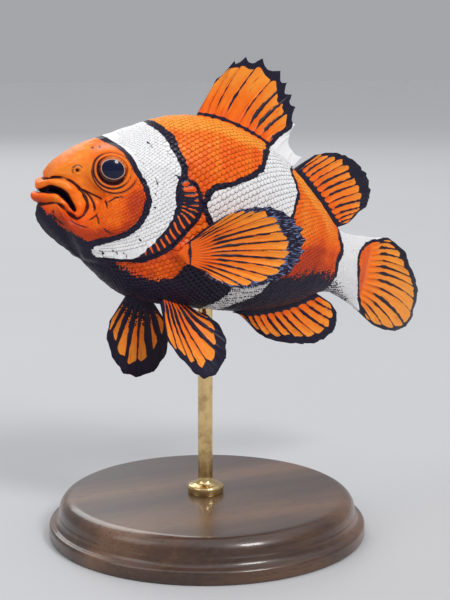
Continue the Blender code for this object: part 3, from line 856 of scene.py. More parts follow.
@dataclass
class Skin:
    """The skin of the whole body in one piece, from inside the mouth to the root of the tail fin."""

    body: BodyShape
    markings: Markings
    gill: GillEdge
    orbit: Orbit
    columns: int = 336
    inset: float = 0.15
    mouth_rows: int = 8
    lip_rows: int = 34
    face_rows: int = 78
    head_rows: int = 62
    trunk_rows: int = 86
    root_rows: int = 12
    mouth_depth: float = 2.2  # how much further behind the slit the mouth is shut at its sides
    head_end: float = 26.5
    trunk_end: float = 66.8
    root_end: float = 71.8
    folds: tuple[Fold, ...] = (
        Fold((16.9, 17.5, 17.5, 16.9, 15.5, 13.6, 11.5, 9.2), (2.8, 1.2, -0.6, -2.4, -4.5, -6.0, -6.9, -7.3), 0.30,
             0.22, 0.14, 0.2),
        Fold((7.3, 9.0, 10.2, 10.1, 9.3), (0.4, -0.2, -1.6, -3.2, -4.2), 0.20, 0.24, 0.16, 0.85),
        Fold((7.4, 9.4, 10.9, 11.6), (0.5, 0.1, -0.3, -1.6), 0.17, 0.20, 0.12, 0.95),
        Fold((10.1, 10.6, 11.1), (-2.9, -3.5, -4.4), 0.14, 0.16, 0.08, 0.9),
        Fold((11.4, 12.4, 13.7), (-0.6, 0.4, 1.0), 0.15, 0.15, 0.08, 0.9),
        Fold((4.0, 4.4, 5.2, 6.6), (-3.9, -4.7, -5.4, -6.0), 0.18, 0.18, 0.10, 0.8),
        Fold((6.8, 8.2, 9.6), (-4.7, -5.3, -5.4), 0.15, 0.15, 0.08, 0.7),
        Fold((11.9, 12.8, 13.8), (-4.7, -5.2, -5.2), 0.14, 0.12, 0.06, 0.8),
        Fold((26.6, 27.7, 28.0, 27.4), (-2.9, -4.6, -6.9, -9.2), 0.26, 0.26, -0.16, 1.0),
        Fold((7.6, 9.6, 12.2, 14.4), (2.9, 1.3, 0.6, 1.2), 0.26, 0.10, 0.06, 0.25))
    # Root of the pectoral fin, and cheek: station, height, squeeze along, lean, width and height of the swelling.
    swells: tuple[Row, ...] = ((26.6, -5.4, 0.8, 0.2, 2.3, 1.15), (14.0, -3.4, 0.8, 0.0, 3.2, 0.25))
    nostril: Pair = (6.2, 3.2)
    pores: tuple[Pair, ...] = ((8.1, 7.5), (9.2, 7.9))
    tail_half: float = 0.24  # half thickness where the body ends in the tail fin

    def plain_grid(self) -> Array:
        """The smooth body before its relief.

        Returns:
            Rings of points: mouth, lips, face, head, trunk and the root of the tail fin.
        """
        angle = -math.pi / 2 + 2 * math.pi * np.arange(self.columns) / self.columns
        lips = self.body.lip_rings(np.linspace(0, 1, self.lip_rows), angle)
        depth = np.linspace(0.97, 0, self.mouth_rows + 1)[:-1, None, None]
        along = 0.97 * self.body.mouth_half_length * np.cos(angle)
        shut = self.body.mouth_point(along, 0 * angle, 0.02 - self.mouth_depth * ease(0.6, 3.6, np.abs(along)))
        mouth = lips[:1] + (shut - lips[:1]) * depth
        face = self.body.face_rings(np.linspace(0, 1, self.face_rows + 1)[1:], angle)
        head = np.linspace(self.body.face_station, self.head_end, self.head_rows + 1)[1:]
        trunk = np.linspace(self.head_end, self.trunk_end, self.trunk_rows + 1)[1:]
        flank = self.body.flank(np.concatenate([head, trunk])[:, None], angle[None, :])
        # The root of the tail fin is a blunt wedge.
        share = np.linspace(0, 1, self.root_rows + 1)[1:, None]
        station = self.trunk_end + (self.root_end - self.trunk_end) * share
        root = self.body.flank(station, angle[None, :])
        back, belly, half = self.body.sizes(station)
        start = self.body.sizes(np.array([self.trunk_end]))[2][0]
        root[..., 1] *= (self.tail_half + (start - self.tail_half) * (1 - share) ** 1.25) / half
        middle = 0.5 * (back + belly)
        root[..., 2] = middle + (root[..., 2] - middle) * (1 - 0.05 * share**2)
        return np.concatenate([mouth, lips, face, flank, root])

    def relief(self, points: Array, normals: Array) -> tuple[Array, Array]:
        """Folds, gill covers, swellings, nostrils, pores, lips and unevenness, with painted shade in the folds, pits
        and grooves.

        Swellings, nostrils and pores are Gaussians of the distance to their middle, and the groove behind the lips one
        of the rows from it. The relief of the sides fades out where the skin faces up or down.

        Args:
            points: The smooth body.
            normals: Its normals.

        Returns:
            How far each point is pushed out, and how dark its painted shade is.
        """
        x, z = points[..., 0], points[..., 2]
        sideways = np.abs(normals[..., 1])
        facing = ease(0.15, 0.5, sideways)
        push, shade = np.full(x.shape, -self.inset), np.zeros(x.shape)
        for fold in self.folds:
            out, dark = fold.measure(points)
            push += out * facing
            shade = np.maximum(shade, dark * facing)
        push += self.gill.relief(points) * ease(0.1, 0.4, sideways)
        for station, height, squeeze, lean, width, swell in self.swells:
            ahead = (x - station) * squeeze - (z - height) * lean
            push += swell * bell(np.hypot(ahead, z - height), width) * facing
        # A nostril is a pit with a raised rim, painted dark as shade, with a crescent of painted shade in front of it.
        ahead, above = x - self.nostril[0], z - self.nostril[1]
        away = np.hypot(ahead, above)
        push += facing * (0.26 * bell(away - 0.55, 0.20) - 0.45 * bell(away, 0.34))
        crescent = 0.7 * bell(away - 0.85, 0.12) * ease(0.5, -0.3, ahead - above)
        shade = np.maximum(shade, facing * np.maximum(bell(away, 0.28), crescent))
        # Pores are small pits, painted dark as shade.
        for station, height in self.pores:
            away = np.hypot(x - station, z - height)
            push -= facing * 0.12 * bell(away, 0.20)
            shade = np.maximum(shade, facing * 0.9 * bell(away, 0.22))
        push += 0.035 * ripples(points, 1.7, 62) + ease(14, 8, x) * 0.03 * ripples(points, 0.8, 63)
        row = np.arange(len(points))[:, None] + 0 * x
        lip_end = self.mouth_rows + self.lip_rows
        # The groove behind the lips is sunk, and painted dark as shade.
        groove = bell(row - lip_end + 0.5, 1.7) * (0.8 + 0.3 * ripples(points, 2.5, 64))
        push += ease(lip_end + 6, lip_end - 4, row) * 0.05 * ripples(points, 1.3, 61) - 0.16 * groove
        # Inside the mouth and over the inner lip the skin is painted dark as shade.
        inside = ease(self.mouth_rows + 9, self.mouth_rows + 3, row)
        return push, np.maximum(shade, np.maximum(inside, np.clip(groove, 0, 1)))

    def grid(self) -> tuple[Array, Array, Array]:
        """The skin with all its relief, which fades out towards both ends of the grid.

        Returns:
            Points and normals, and how dark the painted shade of folds, pits, grooves and eye rings is at each point.
        """
        points = self.plain_grid()
        normals = outward_normals(points)
        push, shade = self.relief(points, normals)
        row = np.arange(len(points))[:, None]
        whole = ease(0, 12, row) * ease(0, self.root_rows, len(points) - 1 - row)
        points = points + normals * (push * whole)[..., None]
        for side in Side:
            points, dark = self.orbit.shape(points, side)
            shade = np.maximum(shade, dark)
        return points, outward_normals(points), shade

    def fields(self, points: Array, shade: Array) -> Fields:
        """The body's markings with the gill strip's, and the painted shade of the folds.

        Args:
            points: The places.
            shade: How dark the painted shade of the folds is there.

        Returns:
            The fields that the material reads.
        """
        found = self.markings.fields(points)
        self.gill.mark(points, found)
        found["crease"] = shade
        return found

    def build(self, pose: Pose, points: Array, shade: Array) -> Object:
        """Makes the skin's piece.

        Args:
            pose: Puts it in its place.
            points: The skin's points.
            shade: How dark the painted shade of the folds is.

        Returns:
            The object.
        """
        fields = self.fields(points, shade)
        # Painted shade: the inside of the mouth is laid as black ink.
        fields["ink"][:self.mouth_rows + 2] = 1.0  # black inside the mouth
        down = run_down(points)
        made = tube_piece("skin", pose.place(points), fields, (Cap.ZIP, Cap.ZIP), down / down[-1])
        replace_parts(made, "head", "upper_lip", "lower_jaw", "gill_cover_left", "gill_cover_right", "trunk", "tail_stem")
        return made


# ---- scales, fins and eyes


@dataclass(frozen=True)
class Coat:
    """Scales in staggered rows on part of the skin."""

    name: str
    on_trunk: bool
    around: int  # scales in a row, all round the body
    first_station: float
    pitch: float  # distance between rows, as a share of the distance between scales of a row
    lift: float  # height of a scale's free edge
    thick: float
    seed: int
    parts: tuple[tuple[str, float, float], ...]  # pieces that it is made in: name, first and last station

    def lattice(self, spans: Array, along: Array) -> tuple[Array, Array, Array, Array]:
        """Places of the scales' middles on the skin's grid.

        The distance between rows shrinks with the body, as that between scales of a row does.

        Args:
            spans: Length round each row of the grid, from the first row of scales.
            along: Distance along the body at each row.

        Returns:
            Distance along and share round of each scale, and its half length and half width.
        """
        steps = []
        at = along[0]
        while at < along[-1]:
            steps.append(at)
            at += self.pitch * float(np.interp(at, along, spans)) / self.around
        rows = np.array(steps)
        pitch = np.interp(rows, along, spans) / self.around
        number, place = np.meshgrid(np.arange(len(rows)), np.arange(self.around), indexing="ij")
        place = (place + 0.5 * (number % 2)) / self.around
        return rows[number].ravel(), place.ravel(), pitch[number].ravel() * self.pitch, pitch[number].ravel()


@dataclass
class Scales:
    """The scales over the skin, each a thin closed leaf whose root is sunk and whose rear edge stands free."""

    pose: Pose
    skin: Skin
    points: Array
    normals: Array
    shade: Array
    leaf: int = 5  # points along and across a scale
    patch: float = 0.0015  # half width of a scale's patch of the bake map
    eye_clear: float = 4.6  # distance from the gaze axis within which there are no scales
    bare_face: float = 9.2  # station behind which the cheek has scales
    fin_root: Pair = (27.2, -5.2)  # station and height of the root of the pectoral fin

    def leaf_mesh(self) -> tuple[Array, Array, Array]:
        """One scale: a square grid bent to a disc, and its underside, which shares the rim.

        The square's lines bend to ellipses, and its rim to the circle.

        Returns:
            Place along and across, underneath (-1), rim (0) or top (1) for each point, and the quads.
        """
        side = np.linspace(-1, 1, self.leaf)
        along, across = np.meshgrid(side, side, indexing="ij")
        disc = np.stack([along * np.sqrt(1 - across**2 / 2), across * np.sqrt(1 - along**2 / 2)], -1).reshape(-1, 2)
        rim = (np.maximum(np.abs(along), np.abs(across)) > 0.999).ravel()
        inner = np.flatnonzero(~rim)
        under = np.arange(self.leaf**2)
        under[inner] = self.leaf**2 + np.arange(len(inner))
        quads = grid_faces(self.leaf, self.leaf, False)
        layer = np.concatenate([np.where(rim, 0, 1), -np.ones(len(inner))])
        return np.concatenate([disc, disc[inner]]), layer, np.concatenate([quads, under[quads][:, ::-1]])

    def places(self, centre: Array) -> tuple[Array, Array]:
        """Where the coats of head and trunk are.

        The head's is in front of the gill strip, behind the bare face and off the rings round the eyes. The trunk's is
        behind the gill cover, off the root of the pectoral fin.

        Args:
            centre: Middles of scales.

        Returns:
            True for each on the head, and for each on the trunk.
        """
        gill = self.skin.gill
        x, z = centre[:, 0], centre[:, 2]
        behind = gill.measure(centre)[0]
        head = np.where((z > gill.top) | (z < gill.bottom), behind < -0.3, behind < -gill.width(z) - 0.2)
        head &= x > self.bare_face + 0.25 * np.abs(z + 2) + 2.0 * ease(-4, -9, z)
        for side in Side:
            middle, gaze, _, _ = self.skin.orbit.axes(side)
            height = (centre - middle) @ gaze
            head &= (lengths(centre - middle - height[:, None] * gaze) > self.eye_clear) | (height < -1)
        root = np.hypot(x - self.fin_root[0], (z - self.fin_root[1]) * 0.55) < 1.0
        return head, (behind > np.where(z > gill.top, -0.1, 0.7)) & ~root

    def build(self, coat: Coat, part: tuple[str, float, float], side: Side) -> Object:
        """Lays one part of a coat.

        Args:
            coat: Sizes and extent of the coat.
            part: Name of the part, its first and its last station.
            side: Which side of the fish the part is on.

        Returns:
            The object.
        """
        points, skin = self.points, self.skin
        part_name, low, high = part
        lip_end = skin.mouth_rows + skin.lip_rows
        start = lip_end + int(np.searchsorted(points.mean(1)[lip_end:, 0], coat.first_station))
        stop = len(points) - skin.root_rows // 2
        spans = lengths(points - np.roll(points, 1, axis=1)).sum(1)
        along = run_down(points)
        rows, place, half_long, half_wide = coat.lattice(spans[start:stop], along[start:stop])
        row = np.interp(rows, along, np.arange(len(points)))
        centre = read_grid(points, row, place * points.shape[1])
        chance = np.random.default_rng(coat.seed).uniform(-1, 1, (len(row), 4))
        chosen = self.places(centre)[coat.on_trunk] & (-side.value * centre[:, 1] >= 0)
        chosen &= (centre[:, 0] >= low) & (centre[:, 0] < high)
        rows, place, half_long, half_wide, chance = (v[chosen] for v in (rows, place, half_long, half_wide, chance))
        disc, layer, quads = self.leaf_mesh()
        forth = disc[:, 0] * (1 + 0.06 * chance[:, 1:2])
        aside = disc[:, 1] * (0.94 - 0.06 * disc[:, 0]) + 0.06 * chance[:, 2:3]
        wide = half_wide[:, None]
        at_row = np.interp(rows[:, None] + 1.02 * half_long[:, None] * (forth + 0.15), along, np.arange(len(points)))
        span = np.interp(rows, along, spans)[:, None]
        at_column = place[:, None] * points.shape[1] + 0.60 * wide * aside * points.shape[1] / span
        base, up = read_grid(points, at_row, at_column), unit(read_grid(self.normals, at_row, at_column))
        lift = wide / 1.2 * (-0.05 + (coat.lift + 0.05) * (0.5 + 0.5 * disc[:, 0]) ** 0.9)
        dome = 0.05 * wide * (1 - (disc**2).sum(1)) * (layer >= 0)
        lift = lift + dome + layer * coat.thick * 0.5 + 0.012 * chance[:, 3:4] * (1 + disc[:, 0])
        shaped = base + up * lift[..., None]
        fields = skin.fields(base, read_grid(self.shade[..., None], at_row, at_column)[..., 0])
        for k, (key, spread) in enumerate((("white", 0.10), ("ink", 0.10), ("tone", 0.16))):
            fields[key] = fields[key] + spread * chance[:, k:k + 1]
        # Share from the sunk root to the free edge. The pigment paints the root darker as shade and the free edge
        # lighter.
        fields["rim"] = np.broadcast_to(disc[:, 0] * 0.5 + 0.5, lift.shape)
        count = len(disc)
        faces = (quads[None] + count * np.arange(len(rows))[:, None, None]).reshape(-1, 4)
        u = 0.02 + 0.96 * place[:, None]
        v = 0.02 + 0.94 * np.interp(rows, along, np.linspace(0, 1, len(points)))[:, None]
        patch = np.stack([u + self.patch * disc[:, 1], v + self.patch * disc[:, 0]], -1).reshape(-1, 2)
        made = make_piece(f"{coat.name}{part_name}_{side.word}", self.pose.place(shaped), faces, fields, patch[faces])
        return made


@dataclass(frozen=True)
class Fin:
    """A fin: rays run straight from roots to tips, with skin between them that is cut back at the margin."""

    name: str
    roots: tuple[Point, ...]
    tips: tuple[Point, ...]
    rays: int
    wave: float  # how far the whole sheet sways to the side
    margin: Row  # width of the black along the tips
    scallop: float = 0.02  # how deeply the margin is cut back between rays, as a share of the ray
    thick: float = 1.1  # greatest thickness
    lead: float = 0.0  # and along the first ray
    trail: float = 0.0  # and along the last ray
    foot: float = 0.0  # and along the roots
    line: float = 0.20  # half width of the dark lines along the rays
    line_start: float = 0.0  # share of the ray where the dark line begins
    lines: Row = (1.0, 1.0)  # strength of the dark lines along the tips
    bars: tuple[int, ...] = ()  # which of the body's bars run on over the fin
    bow: float = 0.0  # how far the middle of a ray bends towards the first one
    shadow: float = 0.0  # how dark the painted shadow over the roots is
    branch: float = 0.45  # share of the ray where it divides, 1 or more where it doesn't
    pale: float = 0.0  # how much lighter the orange is
    hair: float = 0.0  # how strongly pale hair-lines show in the black
    sink: float = 1.4  # how far the roots run on into the body
    base: float = 0.35  # extra half thickness at the roots
    ray_width: float = 0.17
    ray_height: float = 0.26  # height of a ray's ridge at its root
    skin_half: float = 0.10  # half thickness of the skin between rays
    edge_round: float = 0.35  # radius of the first and last ray's rounding
    rows: int = 46
    steps: int = 12  # columns from ray to ray

    def build(self, pose: Pose, markings: Markings) -> Object:
        """Makes the fin as one closed sheet with rays on both faces.

        Half the thickness is that of the skin plus a Gaussian ridge over each ray, which parts in two from the branch
        on. At the first and last ray it falls to nothing on a circle.

        Args:
            pose: Puts the fin in its place.
            markings: The body's markings.

        Returns:
            The object.
        """
        count = (self.rays - 1) * self.steps + 1
        place = np.linspace(0, 1, count)
        root, tip = (
            np.stack([smooth_curve(np.arange(len(k)), np.array(k)[:, c], place * (len(k) - 1)) for c in range(3)], -1)
            for k in (self.roots, self.tips))
        cell = place * (self.rays - 1)
        long = lengths(tip - root)
        reach = 1 - self.scallop * np.abs(np.sin(math.pi * cell))
        worn = 1 - (0.012 * ripples(cell[:, None], 0.9, 71) + 0.006 * ripples(cell[:, None], 0.3, 72))
        share = np.linspace(0, 1, self.rows) ** 0.95
        share = np.concatenate([-self.sink / long.mean() * np.array([1.0, 0.5]), share])[:, None]
        cut = np.clip(1 - (1 - reach * np.minimum(worn, 1.0)) * np.clip(share, 0, 1), 0, 1.0)
        sheet = root + (tip - root) * (share * cut)[..., None]
        ahead = unit(np.gradient(sheet, axis=1))
        grown = np.clip(share, 0, 1)
        hold = np.sin(math.pi * grown) * np.sin(math.pi * place) ** 0.7
        sheet = sheet - ahead * (self.bow * hold)[..., None]
        normal = unit(np.cross(np.gradient(sheet, axis=1), np.gradient(sheet, axis=0)))
        sway = self.wave * np.sin(math.pi * (0.2 + 1.6 * place)) * grown**1.5
        sway = sway + 0.10 * np.sin(2 * math.pi * cell / 2.0 + 0.7) * grown**1.3
        column = lengths(np.gradient(sheet, axis=1))
        fork = np.clip((share - self.branch) / (1 - self.branch), 0, 1) ** 0.8 if self.branch < 1 else 0 * share
        split = np.abs(np.abs(cell - np.round(cell)) - 0.25 * fork) * column * self.steps
        ridge = bell(split, self.ray_width * (1.25 - 0.45 * grown)) * (self.ray_height * (1 - grown) + 0.07)
        half = self.skin_half + 0.06 * (1 - grown) + ridge
        half = half + self.base * np.exp(-np.clip(share, 0, None) * long / 1.6)
        ends = np.clip(np.minimum(place, 1 - place) * column * (count - 1) / self.edge_round, 0, 1)
        rounded = np.sqrt(ends * (2 - ends))
        half = np.minimum(half, 0.5 * self.thick) * rounded * (1 - 0.45 * ease(0.94, 1.0, grown))
        faces = [sheet + normal * (sway + k * half)[..., None] for k in (-1, 1)]
        ring = np.concatenate([faces[0], faces[1][:, -2:0:-1]], 1)
        flat = self.fields(sheet, share, long * reach, markings)
        fields = {key: np.concatenate([v, v[:, -2:0:-1]], 1) for key, v in flat.items()}
        made = tube_piece(self.name + "_skin", pose.place(ring), fields, (Cap.ZIP, Cap.ZIP))
        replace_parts(made, self.name)
        return made

    def fields(self, sheet: Array, share: Array, long: Array, markings: Markings) -> Fields:
        """The markings of the fin's sheet, with painted shade over its roots.

        Args:
            sheet: Its points.
            share: Share of the way from root to margin at each row.
            long: Length of the sheet at each column.
            markings: The body's markings.

        Returns:
            The fields that the material reads.
        """
        shape = sheet.shape[:2]
        place = np.broadcast_to(np.linspace(0, 1, shape[1]), shape)
        cell, share = place * (self.rays - 1), np.broadcast_to(share, shape)
        wide = lengths(np.gradient(sheet, axis=1)) * self.steps
        apart = np.abs(cell - np.round(cell)) * wide
        ground = markings.fields(sheet, self.bars)
        if not self.bars:
            ground["dusk"] = np.zeros(shape)
        rim = (1 - share) * long
        foot = np.abs(share * long)
        band = smooth_curve(np.linspace(0, 1, len(self.margin)), self.margin, place)
        middle = 2 * np.abs(cell % 1 - 0.5)
        uneven = ripples(np.stack([cell, 3 * share], -1), 1.1, 73)
        band = band + 1.1 * middle**3 + 0.22 * uneven + 0.35 * ripples(np.floor(cell)[..., None], 0.7, 74)
        thin = np.clip(np.minimum(share - self.line_start, 0.25) / 0.25, 0, 1)
        kept = smooth_curve(np.linspace(0, 1, len(self.lines)), self.lines, place)
        line = self.line * kept * (1.15 - 0.55 * share + 0.35 * ripples(np.round(cell)[..., None], 0.9, 75)) * thin
        line = line + 0.05 * ripples(np.stack([cell, 8 * share], -1), 1.0, 76) * thin - 0.2 * (1 - thin)
        ink = np.maximum(band - rim, np.minimum(line, 0.36 * wide) - apart - 0.12 * (1 - np.clip(kept, 0, 1)))
        across = np.cumsum(lengths(np.diff(sheet, axis=1, prepend=sheet[:, :1])), axis=1)
        # A band with no width is left out.
        for width, away in ((self.lead, across), (self.trail, across[:, -1:] - across),
                            (self.foot * (0.8 + 0.5 * middle**2), foot)):
            ink = np.maximum(ink, width - away - np.where(width > 0, 0, 1))
        tone = self.pale - 0.35 + 1.25 * share + 0.25 * (1 - middle) + 0.12 * uneven
        # Painted shade: the underside's shade runs on over the roots, and the fin's own painted shadow darkens them.
        dusk = np.maximum(ground["dusk"] * ease(0.35, 0.0, share), self.shadow * ease(0.5, 0.0, share))
        dusk = dusk * ease(-0.3, -0.6, ground["white"])
        # Darker along each ray, laid with the crease shade colour.
        crease = 0.30 * bell(apart, 0.16) * ease(0, 0.15, share)
        return {"white": ground["white"], "ink": np.maximum(ink, ground["ink"]), "dusk": dusk, "tone": tone,
                "crease": crease, "across": cell, "along": share, "hair": self.hair * (rim < band + 1)}


@dataclass(frozen=True)
class Eye:
    """The ball of an eye: a little more than half an ellipsoid round the gaze."""

    orbit: Orbit
    gap: float = 0.03  # how much narrower the ball is than its orbit
    blunt: float = 0.85  # power of the cosine
    reach: float = math.radians(118)  # angle at which the ball ends
    narrow: float = 1.2  # how much less high than wide the iris is
    rings: int = 34
    turns: int = 72

    def build(self, side: Side, pose: Pose) -> Object:
        """Makes the ball.

        A ring stands off the gaze axis by the sine of its angle, and forward by a power of the cosine.

        Args:
            side: Which eye.
            pose: Puts it in its place.

        Returns:
            The object.
        """
        centre, gaze, up, back = self.orbit.axes(side)
        polar, turn = np.meshgrid(np.linspace(0.02, self.reach, self.rings),
                                  np.linspace(0, 2 * math.pi, self.turns, endpoint=False), indexing="ij")
        away = (self.orbit.radius - self.gap) * np.sin(polar)
        height = self.orbit.radius * self.orbit.flatness * np.sign(np.cos(polar)) * np.abs(np.cos(polar)) ** self.blunt
        behind, above = away * np.cos(turn), away * np.sin(turn)
        points = centre + behind[..., None] * back + above[..., None] * up + height[..., None] * gaze
        # Behind the widest ring the field lies past the iris.
        oval = np.where(polar > math.pi / 2, 4.0, np.hypot(behind, above * self.narrow))
        fields = {"iris": oval, "turn": turn, "high": above}
        made = tube_piece(f"eye_{side.word}_ball", pose.place(points), fields)
        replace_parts(made, f"eye_{side.word}")
        return made


# ---- stand


def turned(name: str, profile: Array, place: Pair, turns: int) -> Object:
    """A turned piece: a profile in millimetres carried round an upright axis.

    Args:
        name: Its name.
        profile: Radius and height of each ring, from the bottom up.
        place: Where the axis stands.
        turns: Points round each ring.

    Returns:
        The object.
    """
    angle = np.linspace(0, 2 * math.pi, turns, endpoint=False)
    radius, height = profile.T[..., None]
    rings = np.stack([place[0] + radius * np.cos(angle), place[1] + radius * np.sin(angle), height + 0 * angle], -1)
    return tube_piece(name, rings * MM)


@dataclass(frozen=True)
class Stand:
    """A turned wooden base and the rod that holds the fish by its belly."""

    base_radius: float = 28.0
    base_height: float = 7.0
    rod_radius: float = 1.3
    collar_radius: float = 3.2
    collar_height: float = 2.2
    rod_sink: float = 3.7
    rod_station: float = 37.0

    def base_profile(self) -> Array:
        """The base's profile: a foot, a lip, a small cove, a quarter round and a flat top, sampled finely.

        Returns:
            Radius and height of each ring, from the bottom up.
        """
        top, out = self.base_height, self.base_radius
        arc = np.linspace(0, math.pi / 2, 9)
        foot = np.stack([out - 0.5 + 0.5 * np.sin(arc), 0.5 - 0.5 * np.cos(arc)], -1)
        lip = np.stack([out - 0.6 + 0.6 * np.cos(arc), 1.9 + 0.6 * np.sin(arc)], -1)
        cove = np.stack([out - 0.7 - 0.9 * np.sin(arc), 4.0 - 1.4 * np.cos(arc)], -1)
        step = np.array([[out - 1.75, 4.15], [out - 1.75, 4.35]])
        quarter = np.stack([out - 4.2 + 2.4 * np.cos(arc), top - 2.5 + 2.5 * np.sin(arc)], -1)
        inner = np.linspace(out - 4.6, 0.4, 20)
        flat = np.stack([inner, top + 0 * inner], -1)
        bottom = np.array([[0.4, 0.0], [10.0, 0.0], [20.0, 0.0]])
        return np.concatenate([bottom, foot, lip, cove, step, quarter, flat])

    def build(self, body: BodyShape, pose: Pose) -> tuple[Object, Object]:
        """Makes the base and the rod with its collar.

        Args:
            body: The body that the rod holds.
            pose: Where the body is.

        Returns:
            The base and the rod.
        """
        base = turned("stand_base_turned", self.base_profile(), (0, 0), 160)
        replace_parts(base, "stand_base")
        belly = body.sizes(np.array([self.rod_station]))[1][0]
        x, y, z = pose.place(np.array([self.rod_station, 0, belly])) / MM
        foot, rim, rise = self.base_height, self.collar_radius, self.collar_height
        arc = np.linspace(0, math.pi / 2, 7)
        collar = np.stack([rim - 0.5 + 0.5 * np.cos(arc), foot + rise - 1.1 + 0.5 * np.sin(arc)], -1)
        neck = np.stack([self.rod_radius + 1.0 * (1 - np.sin(arc)), foot + rise - 0.6 + 1.4 * (1 - np.cos(arc))], -1)
        shaft = np.linspace(foot + rise + 1.2, z + self.rod_sink, 24)
        rod = np.stack([self.rod_radius + 0 * shaft, shaft], -1)
        low = np.array([[1.0, foot - 0.2], [rim - 0.1, foot - 0.2], [rim, foot + 0.2], [rim, foot + 0.8]])
        profile = np.concatenate([low, collar, neck, rod, [[self.rod_radius - 0.3, z + self.rod_sink + 0.3]]])
        made = turned("stand_rod_turned", profile, (x, y), 48)
        return base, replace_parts(made, "stand_rod")


# ---- finishes


class Wiring:
    """Short ways to add nodes to a node tree and join them up."""

    def __init__(self, tree: Tree) -> None:
        """Keeps the tree that nodes go into."""
        self.tree = tree

    def feed(self, target: Socket, source: Source) -> None:
        """Feeds a socket.

        Args:
            target: The input.
            source: The output that is joined to it, or its own number or colour.
        """
        if isinstance(source, Socket):
            self.tree.links.new(source, target)
        elif isinstance(source, tuple) and target.type == "RGBA":
            target.default_value = (*source, 1)
        else:
            target.default_value = source

    def add(self, kind: str, sources: dict[int | str, Source] | None = None, **settings) -> Node:
        """Adds a node.

        Args:
            kind: Its type, less "ShaderNode".
            sources: What feeds its inputs, by their number or name.
            settings: Its own settings.

        Returns:
            The node.
        """
        node = self.tree.nodes.new("ShaderNode" + kind)
        for key, value in settings.items():
            setattr(node, key, value)
        for key, source in (sources or {}).items():
            self.feed(node.inputs[key], source)
        return node

    def math(self, operation: str, first: Source, second: Source = 0.0, clamp: bool = False) -> Socket:
        """A Math node's result."""
        return self.add("Math", {0: first, 1: second}, operation=operation, use_clamp=clamp).outputs[0]

    def times(self, first: Source, second: Source) -> Socket:
        """The product."""
        return self.math("MULTIPLY", first, second)

    def plus(self, first: Source, second: Source, clamp: bool = False) -> Socket:
        """The sum, clamped to 0 to 1 if asked."""
        return self.math("ADD", first, second, clamp)

    def minus(self, first: Source, second: Source, clamp: bool = False) -> Socket:
        """The difference, clamped to 0 to 1 if asked."""
        return self.math("SUBTRACT", first, second, clamp)

    def wobble(self, noise: Socket, depth: Source) -> Socket:
        """Noise moved to swing round 0, half the depth each way."""
        return self.times(self.minus(noise, 0.5), depth)

    def step(self, value: Source, low: float, high: float) -> Socket:
        """0 below low, 1 above high and a smooth S between them."""
        sources = {"Value": value, "From Min": low, "From Max": high}
        return self.add("MapRange", sources, interpolation_type="SMOOTHSTEP").outputs["Result"]

    def mix(self, share: Source, first: Source, second: Source) -> Socket:
        """The first colour at share 0, going over to the second at 1."""
        return self.add("Mix", data_type="RGBA", sources={0: share, 6: first, 7: second}).outputs[2]

    def attribute(self, name: str) -> Socket:
        """The number that a piece's vertices carry under that name."""
        return self.add("Attribute", attribute_name=name).outputs["Fac"]

    def place(self) -> Socket:
        """The place on the piece, in metres."""
        return self.add("TexCoord").outputs["Object"]

    def stretched(self, place: Socket, scale: Point) -> Socket:
        """The place with each axis multiplied by its scale."""
        return self.add("Mapping", {"Vector": place, "Scale": scale}).outputs["Vector"]

    def vector(self, x: Source, y: Source, z: Source = 0.0) -> Socket:
        """A vector of three numbers."""
        return self.add("CombineXYZ", {0: x, 1: y, 2: z}).outputs[0]

    def noise(self, place: Socket, scale: float, detail: float = 2.0, rough: float = 0.5) -> Socket:
        """Soft noise from 0 to 1."""
        sources = {"Vector": place, "Scale": scale, "Detail": detail, "Roughness": rough}
        return self.add("TexNoise", sources).outputs["Fac"]

    def cells(self, place: Socket, scale: float, spread: float = 1.0) -> Socket:
        """Distance from the nearest of scattered points."""
        sources = {"Vector": place, "Scale": scale, "Randomness": spread}
        return self.add("TexVoronoi", sources).outputs["Distance"]

    def ramp(self, share: Source, stops: tuple[tuple[float, Colour], ...]) -> Socket:
        """A colour along a ramp.

        Args:
            share: How far along it.
            stops: Places and colours of its stops, in order.

        Returns:
            The colour.
        """
        node = self.add("ValToRGB", {0: share})
        elements = node.color_ramp.elements
        while len(elements) < len(stops):
            elements.new(1.0)
        for element, (at, colour) in zip(elements, stops):
            element.position, element.color = at, (*colour, 1)
        return node.outputs["Color"]


